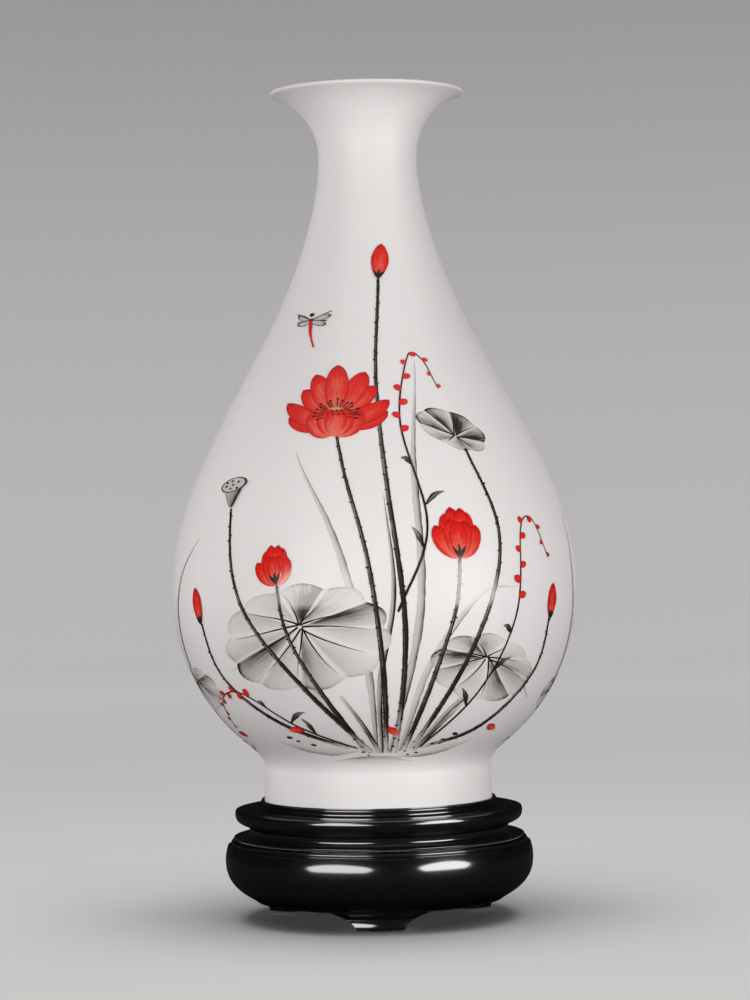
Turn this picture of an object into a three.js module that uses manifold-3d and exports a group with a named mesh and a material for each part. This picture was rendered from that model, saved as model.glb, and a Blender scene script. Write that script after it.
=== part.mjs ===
// A pear-shaped porcelain vase that stands loosely in the recess of a round, turned wooden stand.
// Millimetres, +Z up. The origin is the middle of the stand, on the surface that its feet rest on.
// The front of the object, with the front foot, faces -Y.

import * as THREE from "three";
import { mergeVertices } from "three/addons/utils/BufferGeometryUtils.js";
import Module from "manifold-3d";

const wasm = await Module();
wasm.setup();

// Clearances
const JOINT_GAP = 0.3; // glue line between two pieces that are fixed to each other
const REST_GAP = 0.3; // between pieces that only rest on each other
const FOOT_PLAY = 0.6; // around the vase's foot ring in the recess of the seat board
const SCREW_PLAY = 0.3; // around a screw in its hole

// Vase, outside. Leans are measured from level, so 90 is upright and more than 90 leans inwards.
const FOOT_WAIST_RADIUS = 63.1; // narrowest place of the foot ring
const FOOT_SPREAD = 0.7; // how far the foot ring widens again towards its bottom edge
const FOOT_HEIGHT = 20.2; // from the bottom edge to the narrowest place
const FOOT_EDGE = 1; // bevel along the bottom edge of the foot ring
const BASE_FLARE = 11.9; // from the narrowest place of the foot out to the start of the belly
const BASE_RISE = 15.6;
const BASE_LEAN = 40;
const BELLY_RADIUS = 113.9;
const BELLY_RISE = 80.8; // from the start of the belly up to its widest place
const SHOULDER_SPREAD = 32.4; // from the neck out to the straight part of the shoulder
const SHOULDER_RISE = 141.6; // from the widest place up to the straight part of the shoulder
const SHOULDER_LEAN = 118.6;
const NECK_RADIUS = 27.6;
const NECK_RISE = 102.2; // from the straight part of the shoulder up to the narrowest place
const LIP_FLARE = 26.6; // from the narrowest place of the neck out to the lip
const LIP_RISE = 37.5;
const LIP_LEAN = 54;
const LIP_EDGE_RADIUS = 1.3; // rounding over the lip

// Vase, inside
const WALL = 4.5;
const FOOT_RING_WIDTH = 5.5; // width of the ring that the vase stands on
const FOOT_RECESS = 6; // how far the base is hollowed inside the foot ring
const FLOOR_THICKNESS = 5;

// Felt disc between the vase and its seat
const FELT_THICKNESS = 1;
const FELT_PLAY = 1; // from the edge of the disc to the wall of the recess

// Seat board, which carries the vase
const RECESS_DEPTH = 4;
const RIM_WIDTH = 1.7; // wall left round the recess
const RIM_HEIGHT = 4.8; // from the ledge up to the top of the rim
const RIM_BEADS = 2; // fine beads turned on the outside of the rim
const LEDGE_WIDTH = 4.4;
const LEDGE_STEP = 0.6; // small step from the ledge down to the shoulder
const SHOULDER_OVERHANG = 10; // from the edge of the ledge out to the widest place of the board
const BOARD_BULGE = 3.4; // from the ledge step down to the widest place of the board
const BOARD_UNDERCUT = 6.2; // from the widest place down to the underside
const WAIST_INSET = 8.1; // from the widest place in to the waist
const PLUG_DEPTH = 3; // turned plug under the board that enters the waist ring

// Waist ring, a cove with a beaded foot
const WAIST_HEIGHT = 7;
const WAIST_FLARE = 8.2; // from the waist out to the quirk above the bead
const BEAD_RADIUS = 1;
const QUIRK_DEPTH = 0.5; // fine groove beside a bead

// Belly ring, the swelling part of the stand
const BORE_RADIUS = 50; // through the belly ring and the waist ring
const BELLY_RING_HEIGHT = 33.5;
const BELLY_SWELL = 5.6; // from the quirk above the waist's bead out to the widest place
const BELLY_DROP = 22.3; // from the underside up to the widest place
const BELLY_UNDERCUT = 16.6; // from the widest place in to the underside
const RIDGE_HEIGHT = 2.2; // small ridge between two grooves on top of the belly ring
const RIDGE_INSET = 3.3; // from the widest place in to the ridge
const RIDGE_LEDGE = 2; // from the ridge out to the upper edge of the swelling
const SPIGOT_WIDTH = 6; // turned spigot that enters the waist ring from below
const SPIGOT_HEIGHT = 3;

// Feet, each with a rolled toe and flanks that spread up to the belly ring
const FEET = ["front", "right", "left"];
const STAND_FOOT_HEIGHT = 9.3;
const TOE_WIDTH = 26.4;
const FOOT_TOP_WIDTH = 53;
const FLANK_CURVE = 1.8; // 1 for straight flanks, more for flanks that spread only near the top
const TOE_INSET = 3.6; // from the edge of the belly ring's underside in to the toe's front
const TOE_ROLL_HEIGHT = 4;
const TOE_ROLL_DEPTH = 1.5;
const FOOT_HEEL_INSET = 18; // from the edge of the belly ring's underside in to the heel
const PAD_RADIUS = 7; // felt pad under each foot
const PAD_THICKNESS = 0.8;

// Countersunk wood screws
const SHANK_RADIUS = 2;
const HEAD_RADIUS = 4;
const HEAD_HEIGHT = 2.4;
const TIP_LENGTH = 4;
const CROSS_LENGTH = 4.6; // cross recess in the head
const CROSS_WIDTH = 1;
const CROSS_DEPTH = 1.4;
const HEAD_SINK = 0.4; // from the underside of a foot up to the screw's head
const FOOT_SCREW_BITE = 12; // into the belly ring
const TOP_SCREWS = ["back", "left", "right"]; // through the rings, between the feet
const TOP_SCREW_BITE = 7.5; // into the seat board
const TOP_SCREW_CLAMP = 20; // wood of the belly ring above the head
const FOOT_SCREW_INSET = 12; // from the edge of the belly ring's underside in to the foot screws
const TOP_SCREW_WALL = 3; // wood between the spigot of the belly ring and a top screw

// Fineness of the facets
const AROUND = 48;
const AROUND_SMALL = 12;
const FOOT_ACROSS = 6;
const OUTSIDE_STEPS = [4, 7, 8, 4, 6];
const INSIDE_STEPS = [2, 4, 5, 3, 4];

// Heights of the stack, from the surface that the feet rest on
const footBottom = PAD_THICKNESS + JOINT_GAP;
const footTop = footBottom + STAND_FOOT_HEIGHT;
const bellyBottom = footTop + JOINT_GAP;
const bellyTop = bellyBottom + BELLY_RING_HEIGHT;
const waistBottom = bellyTop + JOINT_GAP;
const waistTop = waistBottom + WAIST_HEIGHT;
const boardBottom = waistTop + JOINT_GAP;
const ledge = boardBottom + BOARD_UNDERCUT + BOARD_BULGE + LEDGE_STEP;
const rimTop = ledge + RIM_HEIGHT;
const recessFloor = rimTop - RECESS_DEPTH;
const feltBottom = recessFloor + REST_GAP;
const vaseBottom = feltBottom + FELT_THICKNESS + REST_GAP;

// Radii of the stand, from the vase's foot ring outwards
const recessRadius = FOOT_WAIST_RADIUS + FOOT_SPREAD + FOOT_PLAY;
const rimRadius = recessRadius + RIM_WIDTH;
const ledgeRadius = rimRadius + LEDGE_WIDTH;
const boardRadius = ledgeRadius + SHOULDER_OVERHANG;
const waistRadius = boardRadius - WAIST_INSET;
const quirkRadius = waistRadius + WAIST_FLARE;
const bellyRadius = quirkRadius + BELLY_SWELL;
const undersideRadius = bellyRadius - BELLY_UNDERCUT;
const spigotRadius = BORE_RADIUS + SPIGOT_WIDTH;
const footScrewCircle = undersideRadius - FOOT_SCREW_INSET;
const topScrewCircle = spigotRadius + TOP_SCREW_WALL + SCREW_PLAY + SHANK_RADIUS;

// Heights of the screws' heads
const footScrewHead = footBottom + HEAD_SINK;
const topScrewTip = boardBottom + TOP_SCREW_BITE;
const topScrewHead = bellyTop - TOP_SCREW_CLAMP;

const porcelain = new THREE.MeshStandardMaterial({ color: 0xe4e0dc, roughness: 0.42, metalness: 0 });
const lacquer = new THREE.MeshStandardMaterial({ color: 0x0c0b0c, roughness: 0.22, metalness: 0 });
const felt = new THREE.MeshStandardMaterial({ color: 0x1d1c1e, roughness: 1, metalness: 0 });
const steel = new THREE.MeshStandardMaterial({ color: 0x9c9b97, roughness: 0.35, metalness: 1 });

const radians = THREE.MathUtils.degToRad;

// The direction in which an outline runs at a lean, with radius as x and height as y.
function heading(lean) {
  return new THREE.Vector2(Math.cos(radians(lean)), Math.sin(radians(lean)));
}

// A curved stretch of an outline. It leaves and arrives at the given leans, and each hold is the
// share of the straight distance for which the curve keeps close to that lean.
function bend(from, fromLean, fromHold, to, toLean, toHold, steps) {
  const start = new THREE.Vector2(...from);
  const end = new THREE.Vector2(...to);
  const distance = start.distanceTo(end);
  const leave = start.clone().addScaledVector(heading(fromLean), distance * fromHold);
  const arrive = end.clone().addScaledVector(heading(toLean), -distance * toHold);
  const curve = new THREE.CubicBezierCurve(start, leave, arrive, end);
  return curve.getPoints(steps).map((point) => point.toArray());
}

// An arc of an outline round a centre, between two angles in degrees.
function arc(centre, radius, fromAngle, toAngle, steps) {
  return Array.from({ length: steps + 1 }, (_, step) => {
    const angle = radians(fromAngle + ((toAngle - fromAngle) * step) / steps);
    return [centre[0] + radius * Math.cos(angle), centre[1] + radius * Math.sin(angle)];
  });
}

// A body of revolution about Z. The outline lists [radius, height] points with the material on
// its left, and starts and ends on the axis or closes on itself.
function turned(outline, around = AROUND) {
  const points = outline.map(([radius, height]) => new THREE.Vector2(radius, height));
  return new THREE.LatheGeometry(points, around).rotateX(Math.PI / 2);
}

function cylinder(radius, bottom, top, around = AROUND_SMALL) {
  return turned([[0, bottom], [radius, bottom], [radius, top], [0, top]], around);
}

// A closed surface as a solid for cutting: vertices shared, and slivers on the axis dropped.
function solidOf(geometry) {
  const bare = geometry.clone();
  bare.deleteAttribute("normal");
  bare.deleteAttribute("uv");
  const merged = mergeVertices(bare);
  const index = merged.index.array;
  const triVerts = [];
  for (let i = 0; i < index.length; i += 3) {
    const [a, b, c] = index.slice(i, i + 3);
    if (a !== b && b !== c && c !== a) triVerts.push(a, b, c);
  }
  return new wasm.Manifold(new wasm.Mesh({
    numProp: 3,
    vertProperties: new Float32Array(merged.attributes.position.array),
    triVerts: new Uint32Array(triVerts),
  }));
}

function geometryOf(solid) {
  const { vertProperties, triVerts } = solid.getMesh();
  const geometry = new THREE.BufferGeometry();
  geometry.setAttribute("position", new THREE.BufferAttribute(new Float32Array(vertProperties), 3));
  geometry.setIndex(new THREE.BufferAttribute(new Uint32Array(triVerts), 1));
  geometry.computeVertexNormals();
  return geometry;
}

function cut(geometry, cutters) {
  return geometryOf(cutters.reduce((body, cutter) => body.subtract(solidOf(cutter)), solidOf(geometry)));
}

// Copies of a cutter at even angles round Z.
function ringOf(geometry, count) {
  return Array.from({ length: count }, (_, copy) => geometry.clone().rotateZ((copy * 2 * Math.PI) / count));
}

// The places that the vase's wall runs through, each with its lean, outside at inset 0.
const baseHeight = FOOT_HEIGHT + BASE_RISE;
const bellyHeight = baseHeight + BELLY_RISE;
const shoulderHeight = bellyHeight + SHOULDER_RISE;
const neckHeight = shoulderHeight + NECK_RISE;
const lipHeight = neckHeight + LIP_RISE;
const WALL_PLACES = {
  foot: { radius: FOOT_WAIST_RADIUS, height: FOOT_HEIGHT, lean: 90 },
  base: { radius: FOOT_WAIST_RADIUS + BASE_FLARE, height: baseHeight, lean: BASE_LEAN },
  belly: { radius: BELLY_RADIUS, height: bellyHeight, lean: 90 },
  shoulder: { radius: NECK_RADIUS + SHOULDER_SPREAD, height: shoulderHeight, lean: SHOULDER_LEAN },
  neck: { radius: NECK_RADIUS, height: neckHeight, lean: 90 },
  lip: { radius: NECK_RADIUS + LIP_FLARE, height: lipHeight, lean: LIP_LEAN },
};

// A place on the wall, moved square to the wall by the inset.
function wallPoint(place, inset) {
  const along = heading(place.lean);
  return [place.radius - inset * along.y, place.height + inset * along.x];
}

// The wall from the foot ring's narrowest place up to the lip. The lip has its own inset, because
// the wall thins towards it. The steps are those of the five stretches, from the foot up.
function wallRun(inset, lipInset, steps) {
  const { foot, base, belly, shoulder, neck, lip } = WALL_PLACES;
  const stretch = (from, fromHold, to, toHold, toInset, count) =>
    bend(wallPoint(from, inset), from.lean, fromHold, wallPoint(to, toInset), to.lean, toHold, count);
  return [
    ...stretch(foot, 0.23, base, 0.6, inset, steps[0]),
    ...stretch(base, 0.43, belly, 0.21, inset, steps[1]).slice(1),
    ...stretch(belly, 0.285, shoulder, 0.515, inset, steps[2]).slice(1),
    ...stretch(shoulder, 0.46, neck, 0.19, inset, steps[3]).slice(1),
    ...stretch(neck, 0.66, lip, 0.11, lipInset, steps[4]).slice(1),
  ];
}

function vaseBody() {
  const ringOuter = FOOT_WAIST_RADIUS + FOOT_SPREAD;
  const ringInner = ringOuter - FOOT_RING_WIDTH;
  const outside = wallRun(0, 0, OUTSIDE_STEPS);
  const inside = wallRun(WALL, 2 * LIP_EDGE_RADIUS, INSIDE_STEPS).reverse();
  const lipMiddle = wallPoint(WALL_PLACES.lip, LIP_EDGE_RADIUS);
  const lipStart = LIP_LEAN - 90;
  const floor = FOOT_RECESS + FLOOR_THICKNESS;
  const floorRadius = FOOT_WAIST_RADIUS - WALL - (FOOT_HEIGHT - floor);
  const outline = [
    [0, FOOT_RECESS],
    [ringInner - FOOT_RECESS, FOOT_RECESS],
    ...bend([ringInner - FOOT_RECESS, FOOT_RECESS], 0, 0.5, [ringInner, FOOT_EDGE], -90, 0.3, 3).slice(1),
    [ringInner + FOOT_EDGE, 0],
    [ringOuter - FOOT_EDGE, 0],
    [ringOuter, FOOT_EDGE],
    ...outside,
    ...arc(lipMiddle, LIP_EDGE_RADIUS, lipStart, lipStart + 180, 4).slice(1, -1),
    ...inside,
    ...bend(inside.at(-1), -90, 0.4, [floorRadius, floor], 180, 0.4, 3).slice(1),
    [0, floor],
  ];
  return turned(outline);
}

function seatFelt() {
  return cylinder(recessRadius - FELT_PLAY, 0, FELT_THICKNESS, AROUND);
}

// The rim's beads, from the ledge up, each as tall as its share of the rim.
function rimBeads() {
  const beadHeight = (RIM_HEIGHT - QUIRK_DEPTH) / RIM_BEADS;
  return Array.from({ length: RIM_BEADS }, (_, bead) => {
    const bottom = ledge + bead * beadHeight;
    return [
      [rimRadius - QUIRK_DEPTH, bottom],
      [rimRadius, bottom + QUIRK_DEPTH],
      [rimRadius, bottom + beadHeight - QUIRK_DEPTH],
    ];
  }).flat();
}

function seatBoard() {
  const plugRadius = BORE_RADIUS - JOINT_GAP;
  const shoulderTop = ledge - LEDGE_STEP;
  const widest = [boardRadius, boardBottom + BOARD_UNDERCUT];
  const outline = [
    [0, boardBottom - PLUG_DEPTH],
    [plugRadius, boardBottom - PLUG_DEPTH],
    [plugRadius, boardBottom],
    ...bend([waistRadius, boardBottom], 45, 0.3, widest, 90, 0.5, 4),
    ...bend(widest, 90, 0.4, [ledgeRadius, shoulderTop], 180, 0.5, 4).slice(1),
    [ledgeRadius, ledge],
    ...rimBeads(),
    [rimRadius - QUIRK_DEPTH, rimTop],
    [recessRadius, rimTop],
    [recessRadius, recessFloor],
    [0, recessFloor],
  ];
  const pilot = cylinder(SHANK_RADIUS + SCREW_PLAY, boardBottom - PLUG_DEPTH, topScrewTip + SCREW_PLAY);
  pilot.translate(0, topScrewCircle, 0);
  return cut(turned(outline), ringOf(pilot, TOP_SCREWS.length));
}

function waistRing() {
  const rebateRadius = spigotRadius + JOINT_GAP;
  const rebateTop = waistBottom + SPIGOT_HEIGHT;
  const beadMiddle = [quirkRadius, waistBottom + BEAD_RADIUS];
  const quirkTop = waistBottom + 2 * BEAD_RADIUS + QUIRK_DEPTH;
  const outline = [
    [rebateRadius, waistBottom],
    ...arc(beadMiddle, BEAD_RADIUS, -90, 90, 4),
    [quirkRadius - QUIRK_DEPTH, quirkTop - QUIRK_DEPTH],
    ...bend([quirkRadius, quirkTop], 155, 0.35, [waistRadius, waistTop], 90, 0.35, 4),
    [BORE_RADIUS, waistTop],
    [BORE_RADIUS, rebateTop],
    [rebateRadius, rebateTop],
    [rebateRadius, waistBottom],
  ];
  const hole = cylinder(SHANK_RADIUS + SCREW_PLAY, waistBottom - JOINT_GAP, waistTop + JOINT_GAP);
  hole.translate(0, topScrewCircle, 0);
  return cut(turned(outline), ringOf(hole, TOP_SCREWS.length));
}

function bellyRing() {
  const widest = [bellyRadius, bellyBottom + BELLY_DROP];
  const ridgeRadius = bellyRadius - RIDGE_INSET;
  const ridgeBottom = bellyTop - RIDGE_HEIGHT;
  const shoulderEdge = [ridgeRadius + RIDGE_LEDGE, ridgeBottom - QUIRK_DEPTH];
  const outline = [
    [BORE_RADIUS, bellyBottom],
    [undersideRadius, bellyBottom],
    ...bend([undersideRadius, bellyBottom + QUIRK_DEPTH], 28, 0.4, widest, 90, 0.42, 7),
    ...bend(widest, 90, 0.5, shoulderEdge, 105, 0.3, 4).slice(1),
    [ridgeRadius - QUIRK_DEPTH, ridgeBottom],
    [ridgeRadius, ridgeBottom + QUIRK_DEPTH],
    [ridgeRadius, bellyTop - QUIRK_DEPTH],
    [ridgeRadius - QUIRK_DEPTH, bellyTop],
    [spigotRadius, bellyTop],
    [spigotRadius, bellyTop + SPIGOT_HEIGHT - JOINT_GAP],
    [BORE_RADIUS, bellyTop + SPIGOT_HEIGHT - JOINT_GAP],
    [BORE_RADIUS, bellyBottom],
  ];
  const pilotTop = bellyBottom + FOOT_SCREW_BITE + SCREW_PLAY;
  const pilot = cylinder(SHANK_RADIUS + SCREW_PLAY, bellyBottom - JOINT_GAP, pilotTop);
  pilot.translate(0, -footScrewCircle, 0);
  const counterbore = screwHole(bellyBottom - JOINT_GAP, topScrewHead, bellyTop + JOINT_GAP);
  counterbore.translate(0, topScrewCircle, 0);
  return cut(turned(outline), [...ringOf(pilot, FEET.length), ...ringOf(counterbore, TOP_SCREWS.length)]);
}

// A foot, built at the front. Each level is a piece of a ring with straight flanks, and the levels
// go from the underside up over the rolled toe and the hollow above it to the top.
function foot() {
  const frontRadius = undersideRadius - TOE_INSET;
  const heelRadius = undersideRadius - FOOT_HEEL_INSET;
  const rollBottom = [frontRadius - TOE_ROLL_DEPTH, footBottom];
  const rollTop = [frontRadius - TOE_ROLL_DEPTH, footBottom + TOE_ROLL_HEIGHT];
  const front = [
    ...bend(rollBottom, 0, 0.55, rollTop, 180, 0.55, 5),
    ...bend(rollTop, 90, 0.4, [undersideRadius, footTop], 35, 0.3, 4).slice(1),
  ];
  const rings = front.map(([radius, height]) => {
    const spread = ((height - footBottom) / STAND_FOOT_HEIGHT) ** FLANK_CURVE;
    const width = TOE_WIDTH + (FOOT_TOP_WIDTH - TOE_WIDTH) * spread;
    return levelRing(radius, heelRadius, width / 2, height);
  });
  const hole = screwHole(footBottom - JOINT_GAP, footScrewHead, footTop + JOINT_GAP);
  return cut(lofted(rings), [hole.translate(0, -footScrewCircle, 0)]);
}

// One level of a foot: points along the front arc, then back along the heel arc.
function levelRing(frontRadius, heelRadius, halfWidth, height) {
  const along = (radius, from, to) => Array.from({ length: FOOT_ACROSS + 1 }, (_, step) => {
    const angle = Math.asin(halfWidth / radius) * (from + ((to - from) * step) / FOOT_ACROSS);
    return [radius * Math.sin(angle), -radius * Math.cos(angle), height];
  });
  return [...along(frontRadius, -1, 1), ...along(heelRadius, 1, -1)];
}

// A closed body through a stack of rings with equally many points. Its ends are strips between
// the front arc and the heel arc.
function lofted(rings) {
  const count = rings[0].length;
  const index = [];
  for (let level = 0; level < rings.length - 1; level += 1) {
    for (let point = 0; point < count; point += 1) {
      const a = level * count + point;
      const b = level * count + ((point + 1) % count);
      index.push(a, b, b + count, a, b + count, a + count);
    }
  }
  const last = (rings.length - 1) * count;
  for (let point = 0; point < count / 2 - 1; point += 1) {
    const opposite = count - 1 - point;
    const [a, b, c, d] = [point, point + 1, opposite - 1, opposite];
    index.push(a, d, c, a, c, b);
    index.push(last + a, last + c, last + d, last + a, last + b, last + c);
  }
  const geometry = new THREE.BufferGeometry();
  geometry.setAttribute("position", new THREE.Float32BufferAttribute(rings.flat(2), 3));
  geometry.setIndex(index);
  return geometry;
}

// A clearance hole with room for a countersunk head that comes in from below.
function screwHole(bottom, head, top) {
  const headRadius = HEAD_RADIUS + SCREW_PLAY;
  const shankRadius = SHANK_RADIUS + SCREW_PLAY;
  return turned([
    [0, bottom], [headRadius, bottom], [headRadius, head + SCREW_PLAY],
    [shankRadius, head + HEAD_HEIGHT + SCREW_PLAY], [shankRadius, top], [0, top],
  ], AROUND_SMALL);
}

// A countersunk screw that points up, with a cross recess in its head.
function screw(head, tip) {
  const body = turned([
    [0, head], [HEAD_RADIUS, head], [HEAD_RADIUS, head + SCREW_PLAY], [SHANK_RADIUS, head + HEAD_HEIGHT],
    [SHANK_RADIUS, tip - TIP_LENGTH], [SHANK_RADIUS / 4, tip], [0, tip],
  ], AROUND_SMALL);
  const arm = new THREE.BoxGeometry(CROSS_LENGTH, CROSS_WIDTH, 2 * CROSS_DEPTH).translate(0, 0, head);
  return cut(body, [arm, arm.clone().rotateZ(Math.PI / 2)]);
}

function piece(name, geometry, material) {
  const mesh = new THREE.Mesh(geometry, material.clone());
  mesh.name = name;
  return mesh;
}

// The stand, built up from the floor
const stand = new THREE.Group();
FEET.forEach((side, copy) => {
  const leg = new THREE.Group();
  const pad = piece(`foot_felt_${side}`, cylinder(PAD_RADIUS, 0, PAD_THICKNESS, 2 * AROUND_SMALL), felt);
  pad.position.set(0, -footScrewCircle, 0);
  const footScrew = piece(`foot_screw_${side}`, screw(footScrewHead, bellyBottom + FOOT_SCREW_BITE), steel);
  footScrew.position.set(0, -footScrewCircle, 0);
  leg.add(piece(`foot_${side}`, foot(), lacquer), pad, footScrew);
  leg.rotation.z = (copy * 2 * Math.PI) / FEET.length;
  stand.add(leg);
});
TOP_SCREWS.forEach((side, copy) => {
  const angle = Math.PI / 2 + (copy * 2 * Math.PI) / TOP_SCREWS.length;
  const topScrew = piece(`top_screw_${side}`, screw(topScrewHead, topScrewTip), steel);
  topScrew.position.set(topScrewCircle * Math.cos(angle), topScrewCircle * Math.sin(angle), 0);
  stand.add(topScrew);
});
stand.add(
  piece("belly_ring", bellyRing(), lacquer),
  piece("waist_ring", waistRing(), lacquer),
  piece("seat_board", seatBoard(), lacquer),
);

// What only rests on the stand
const seatDisc = piece("seat_felt", seatFelt(), felt);
seatDisc.position.z = feltBottom;
const vase = piece("vase_body", vaseBody(), porcelain);
vase.position.z = vaseBottom;

const assembly = new THREE.Group();
assembly.add(stand, seatDisc, vase);

export default assembly;
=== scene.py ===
"""Looks of a painted, pear-shaped porcelain vase on a round, turned wooden stand.

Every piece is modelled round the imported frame, in metres, with +Z up and the front facing -Y.
The painting is a lotus pond in ink wash and scarlet enamel, laid on the glaze as thin films.
"""

import bisect
import math
import random

import bmesh
import bpy
from bpy.props import FloatProperty, FloatVectorProperty, IntProperty, PointerProperty
from bpy.types import Operator, Panel, PropertyGroup
from mathutils import Matrix, Vector, geometry, noise


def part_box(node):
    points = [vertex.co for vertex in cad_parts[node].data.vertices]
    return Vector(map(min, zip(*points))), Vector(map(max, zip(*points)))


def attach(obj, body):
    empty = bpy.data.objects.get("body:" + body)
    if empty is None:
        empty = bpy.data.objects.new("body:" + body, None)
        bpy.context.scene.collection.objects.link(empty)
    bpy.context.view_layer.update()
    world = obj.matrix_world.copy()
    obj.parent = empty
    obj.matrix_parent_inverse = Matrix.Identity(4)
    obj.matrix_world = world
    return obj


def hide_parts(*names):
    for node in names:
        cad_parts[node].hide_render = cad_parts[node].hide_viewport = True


bl_info = {
    "name": "Painted Vase",
    "version": (1, 0, 0),
    "blender": (4, 5, 0),
    "location": "3D View > Sidebar > Vase",
    "description": "Models a painted porcelain vase on a turned wooden stand round its frame",
    "category": "Object",
}

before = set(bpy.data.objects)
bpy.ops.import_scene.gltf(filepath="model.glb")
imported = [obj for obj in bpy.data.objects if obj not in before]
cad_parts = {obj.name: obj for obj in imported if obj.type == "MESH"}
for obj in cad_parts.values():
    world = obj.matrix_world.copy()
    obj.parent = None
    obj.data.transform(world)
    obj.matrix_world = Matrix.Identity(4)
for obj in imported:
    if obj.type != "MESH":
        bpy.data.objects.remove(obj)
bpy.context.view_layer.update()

MM = 0.001
LEVEL = 0.0
UPRIGHT = math.pi / 2
DOWN = -math.pi / 2
BACK = math.pi
FULL_TURN = 2 * math.pi

# Room round the felt disc, play between parts that enter each other, and how far a cutter passes
# the piece that it cuts
FELT_ROOM = 1 * MM
PLAY = 0.3 * MM
OVERCUT = 1 * MM
# The feet, from the front one round to the right
FEET = ("front", "right", "left")

# Fineness of the meshes
ROUND_STEPS = 256
MIDDLE_ROUND_STEPS = 96
SMALL_ROUND_STEPS = 32
OUTSIDE_STEPS = (12, 26, 40, 28, 20)
INSIDE_STEPS = (5, 10, 16, 12, 8)
CURVE_STEPS = 14
SHORT_CURVE_STEPS = 6
CORNER_STEPS = 3
BOW_STEPS = 16
# Closer points than this are one point
DOUBLE = 1e-7


def length(name, millimetres, description):
    """A length that a user can set. Its default is given in millimetres."""
    return FloatProperty(name=name, default=millimetres * MM, description=description, min=0, unit="LENGTH")


def angle(name, degrees, description):
    default = math.radians(degrees)
    return FloatProperty(name=name, default=default, description=description, subtype="ANGLE")


def amount(name, default, description):
    return FloatProperty(name=name, default=default, description=description, min=0)


def share(name, default, description):
    return FloatProperty(name=name, default=default, description=description, min=0, max=1, subtype="FACTOR")


def colour(name, default, description):
    return FloatVectorProperty(name=name, default=default, description=description, subtype="COLOR")


class VaseSizes(PropertyGroup):
    """The vase's wall: radii and rises from the foot up, and the leans of the wall from level."""

    foot_radius: length("Foot radius", 63.1, "Narrowest place of the foot ring")
    foot_spread: length("Foot spread", 0.7, "How far the foot widens again towards its bottom edge")
    foot_height: length("Foot height", 20.2, "From the bottom edge to the narrowest place")
    foot_edge: length("Foot edge", 1, "Rounding along the bottom edge")
    base_flare: length("Base flare", 11.9, "From the foot out to the start of the belly")
    base_rise: length("Base rise", 15.6, "From the foot's narrowest place up to the start of the belly")
    base_lean: angle("Base lean", 40, "Lean of the wall at the start of the belly")
    belly_rise: length("Belly rise", 80.8, "From the start of the belly up to its widest place")
    enamel_room: length("Enamel room", 0.35, "Kept free at the widest place for the raised enamel")
    shoulder_spread: length("Shoulder spread", 32.4, "From the neck out to the straight of the shoulder")
    shoulder_rise: length("Shoulder rise", 141.6, "From the widest place up to the straight of the shoulder")
    shoulder_lean: angle("Shoulder lean", 118.6, "Lean of the wall at the shoulder")
    neck_radius: length("Neck radius", 27.55, "Narrowest place of the neck")
    neck_rise: length("Neck rise", 102.2, "From the shoulder up to the narrowest place of the neck")
    lip_flare: length("Lip flare", 25.9, "From the neck out to the lip")
    lip_rise: length("Lip rise", 35.75, "From the neck up to the lip")
    lip_lean: angle("Lip lean", 23, "Lean of the wall at the lip")
    lip_edge: length("Lip edge", 1.1, "Rounding on each side of the lip's level top")
    lip_thickness: length("Lip thickness", 2.9, "Thickness of the wall at the lip")
    wall: length("Wall", 4.5, "Thickness of the wall")
    foot_ring_width: length("Foot ring width", 5.5, "Width of the ring that the vase stands on")
    foot_recess: length("Foot recess", 6, "How far the base is hollowed inside the foot ring")
    floor_thickness: length("Floor thickness", 5, "Thickness of the vase's floor")


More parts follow.
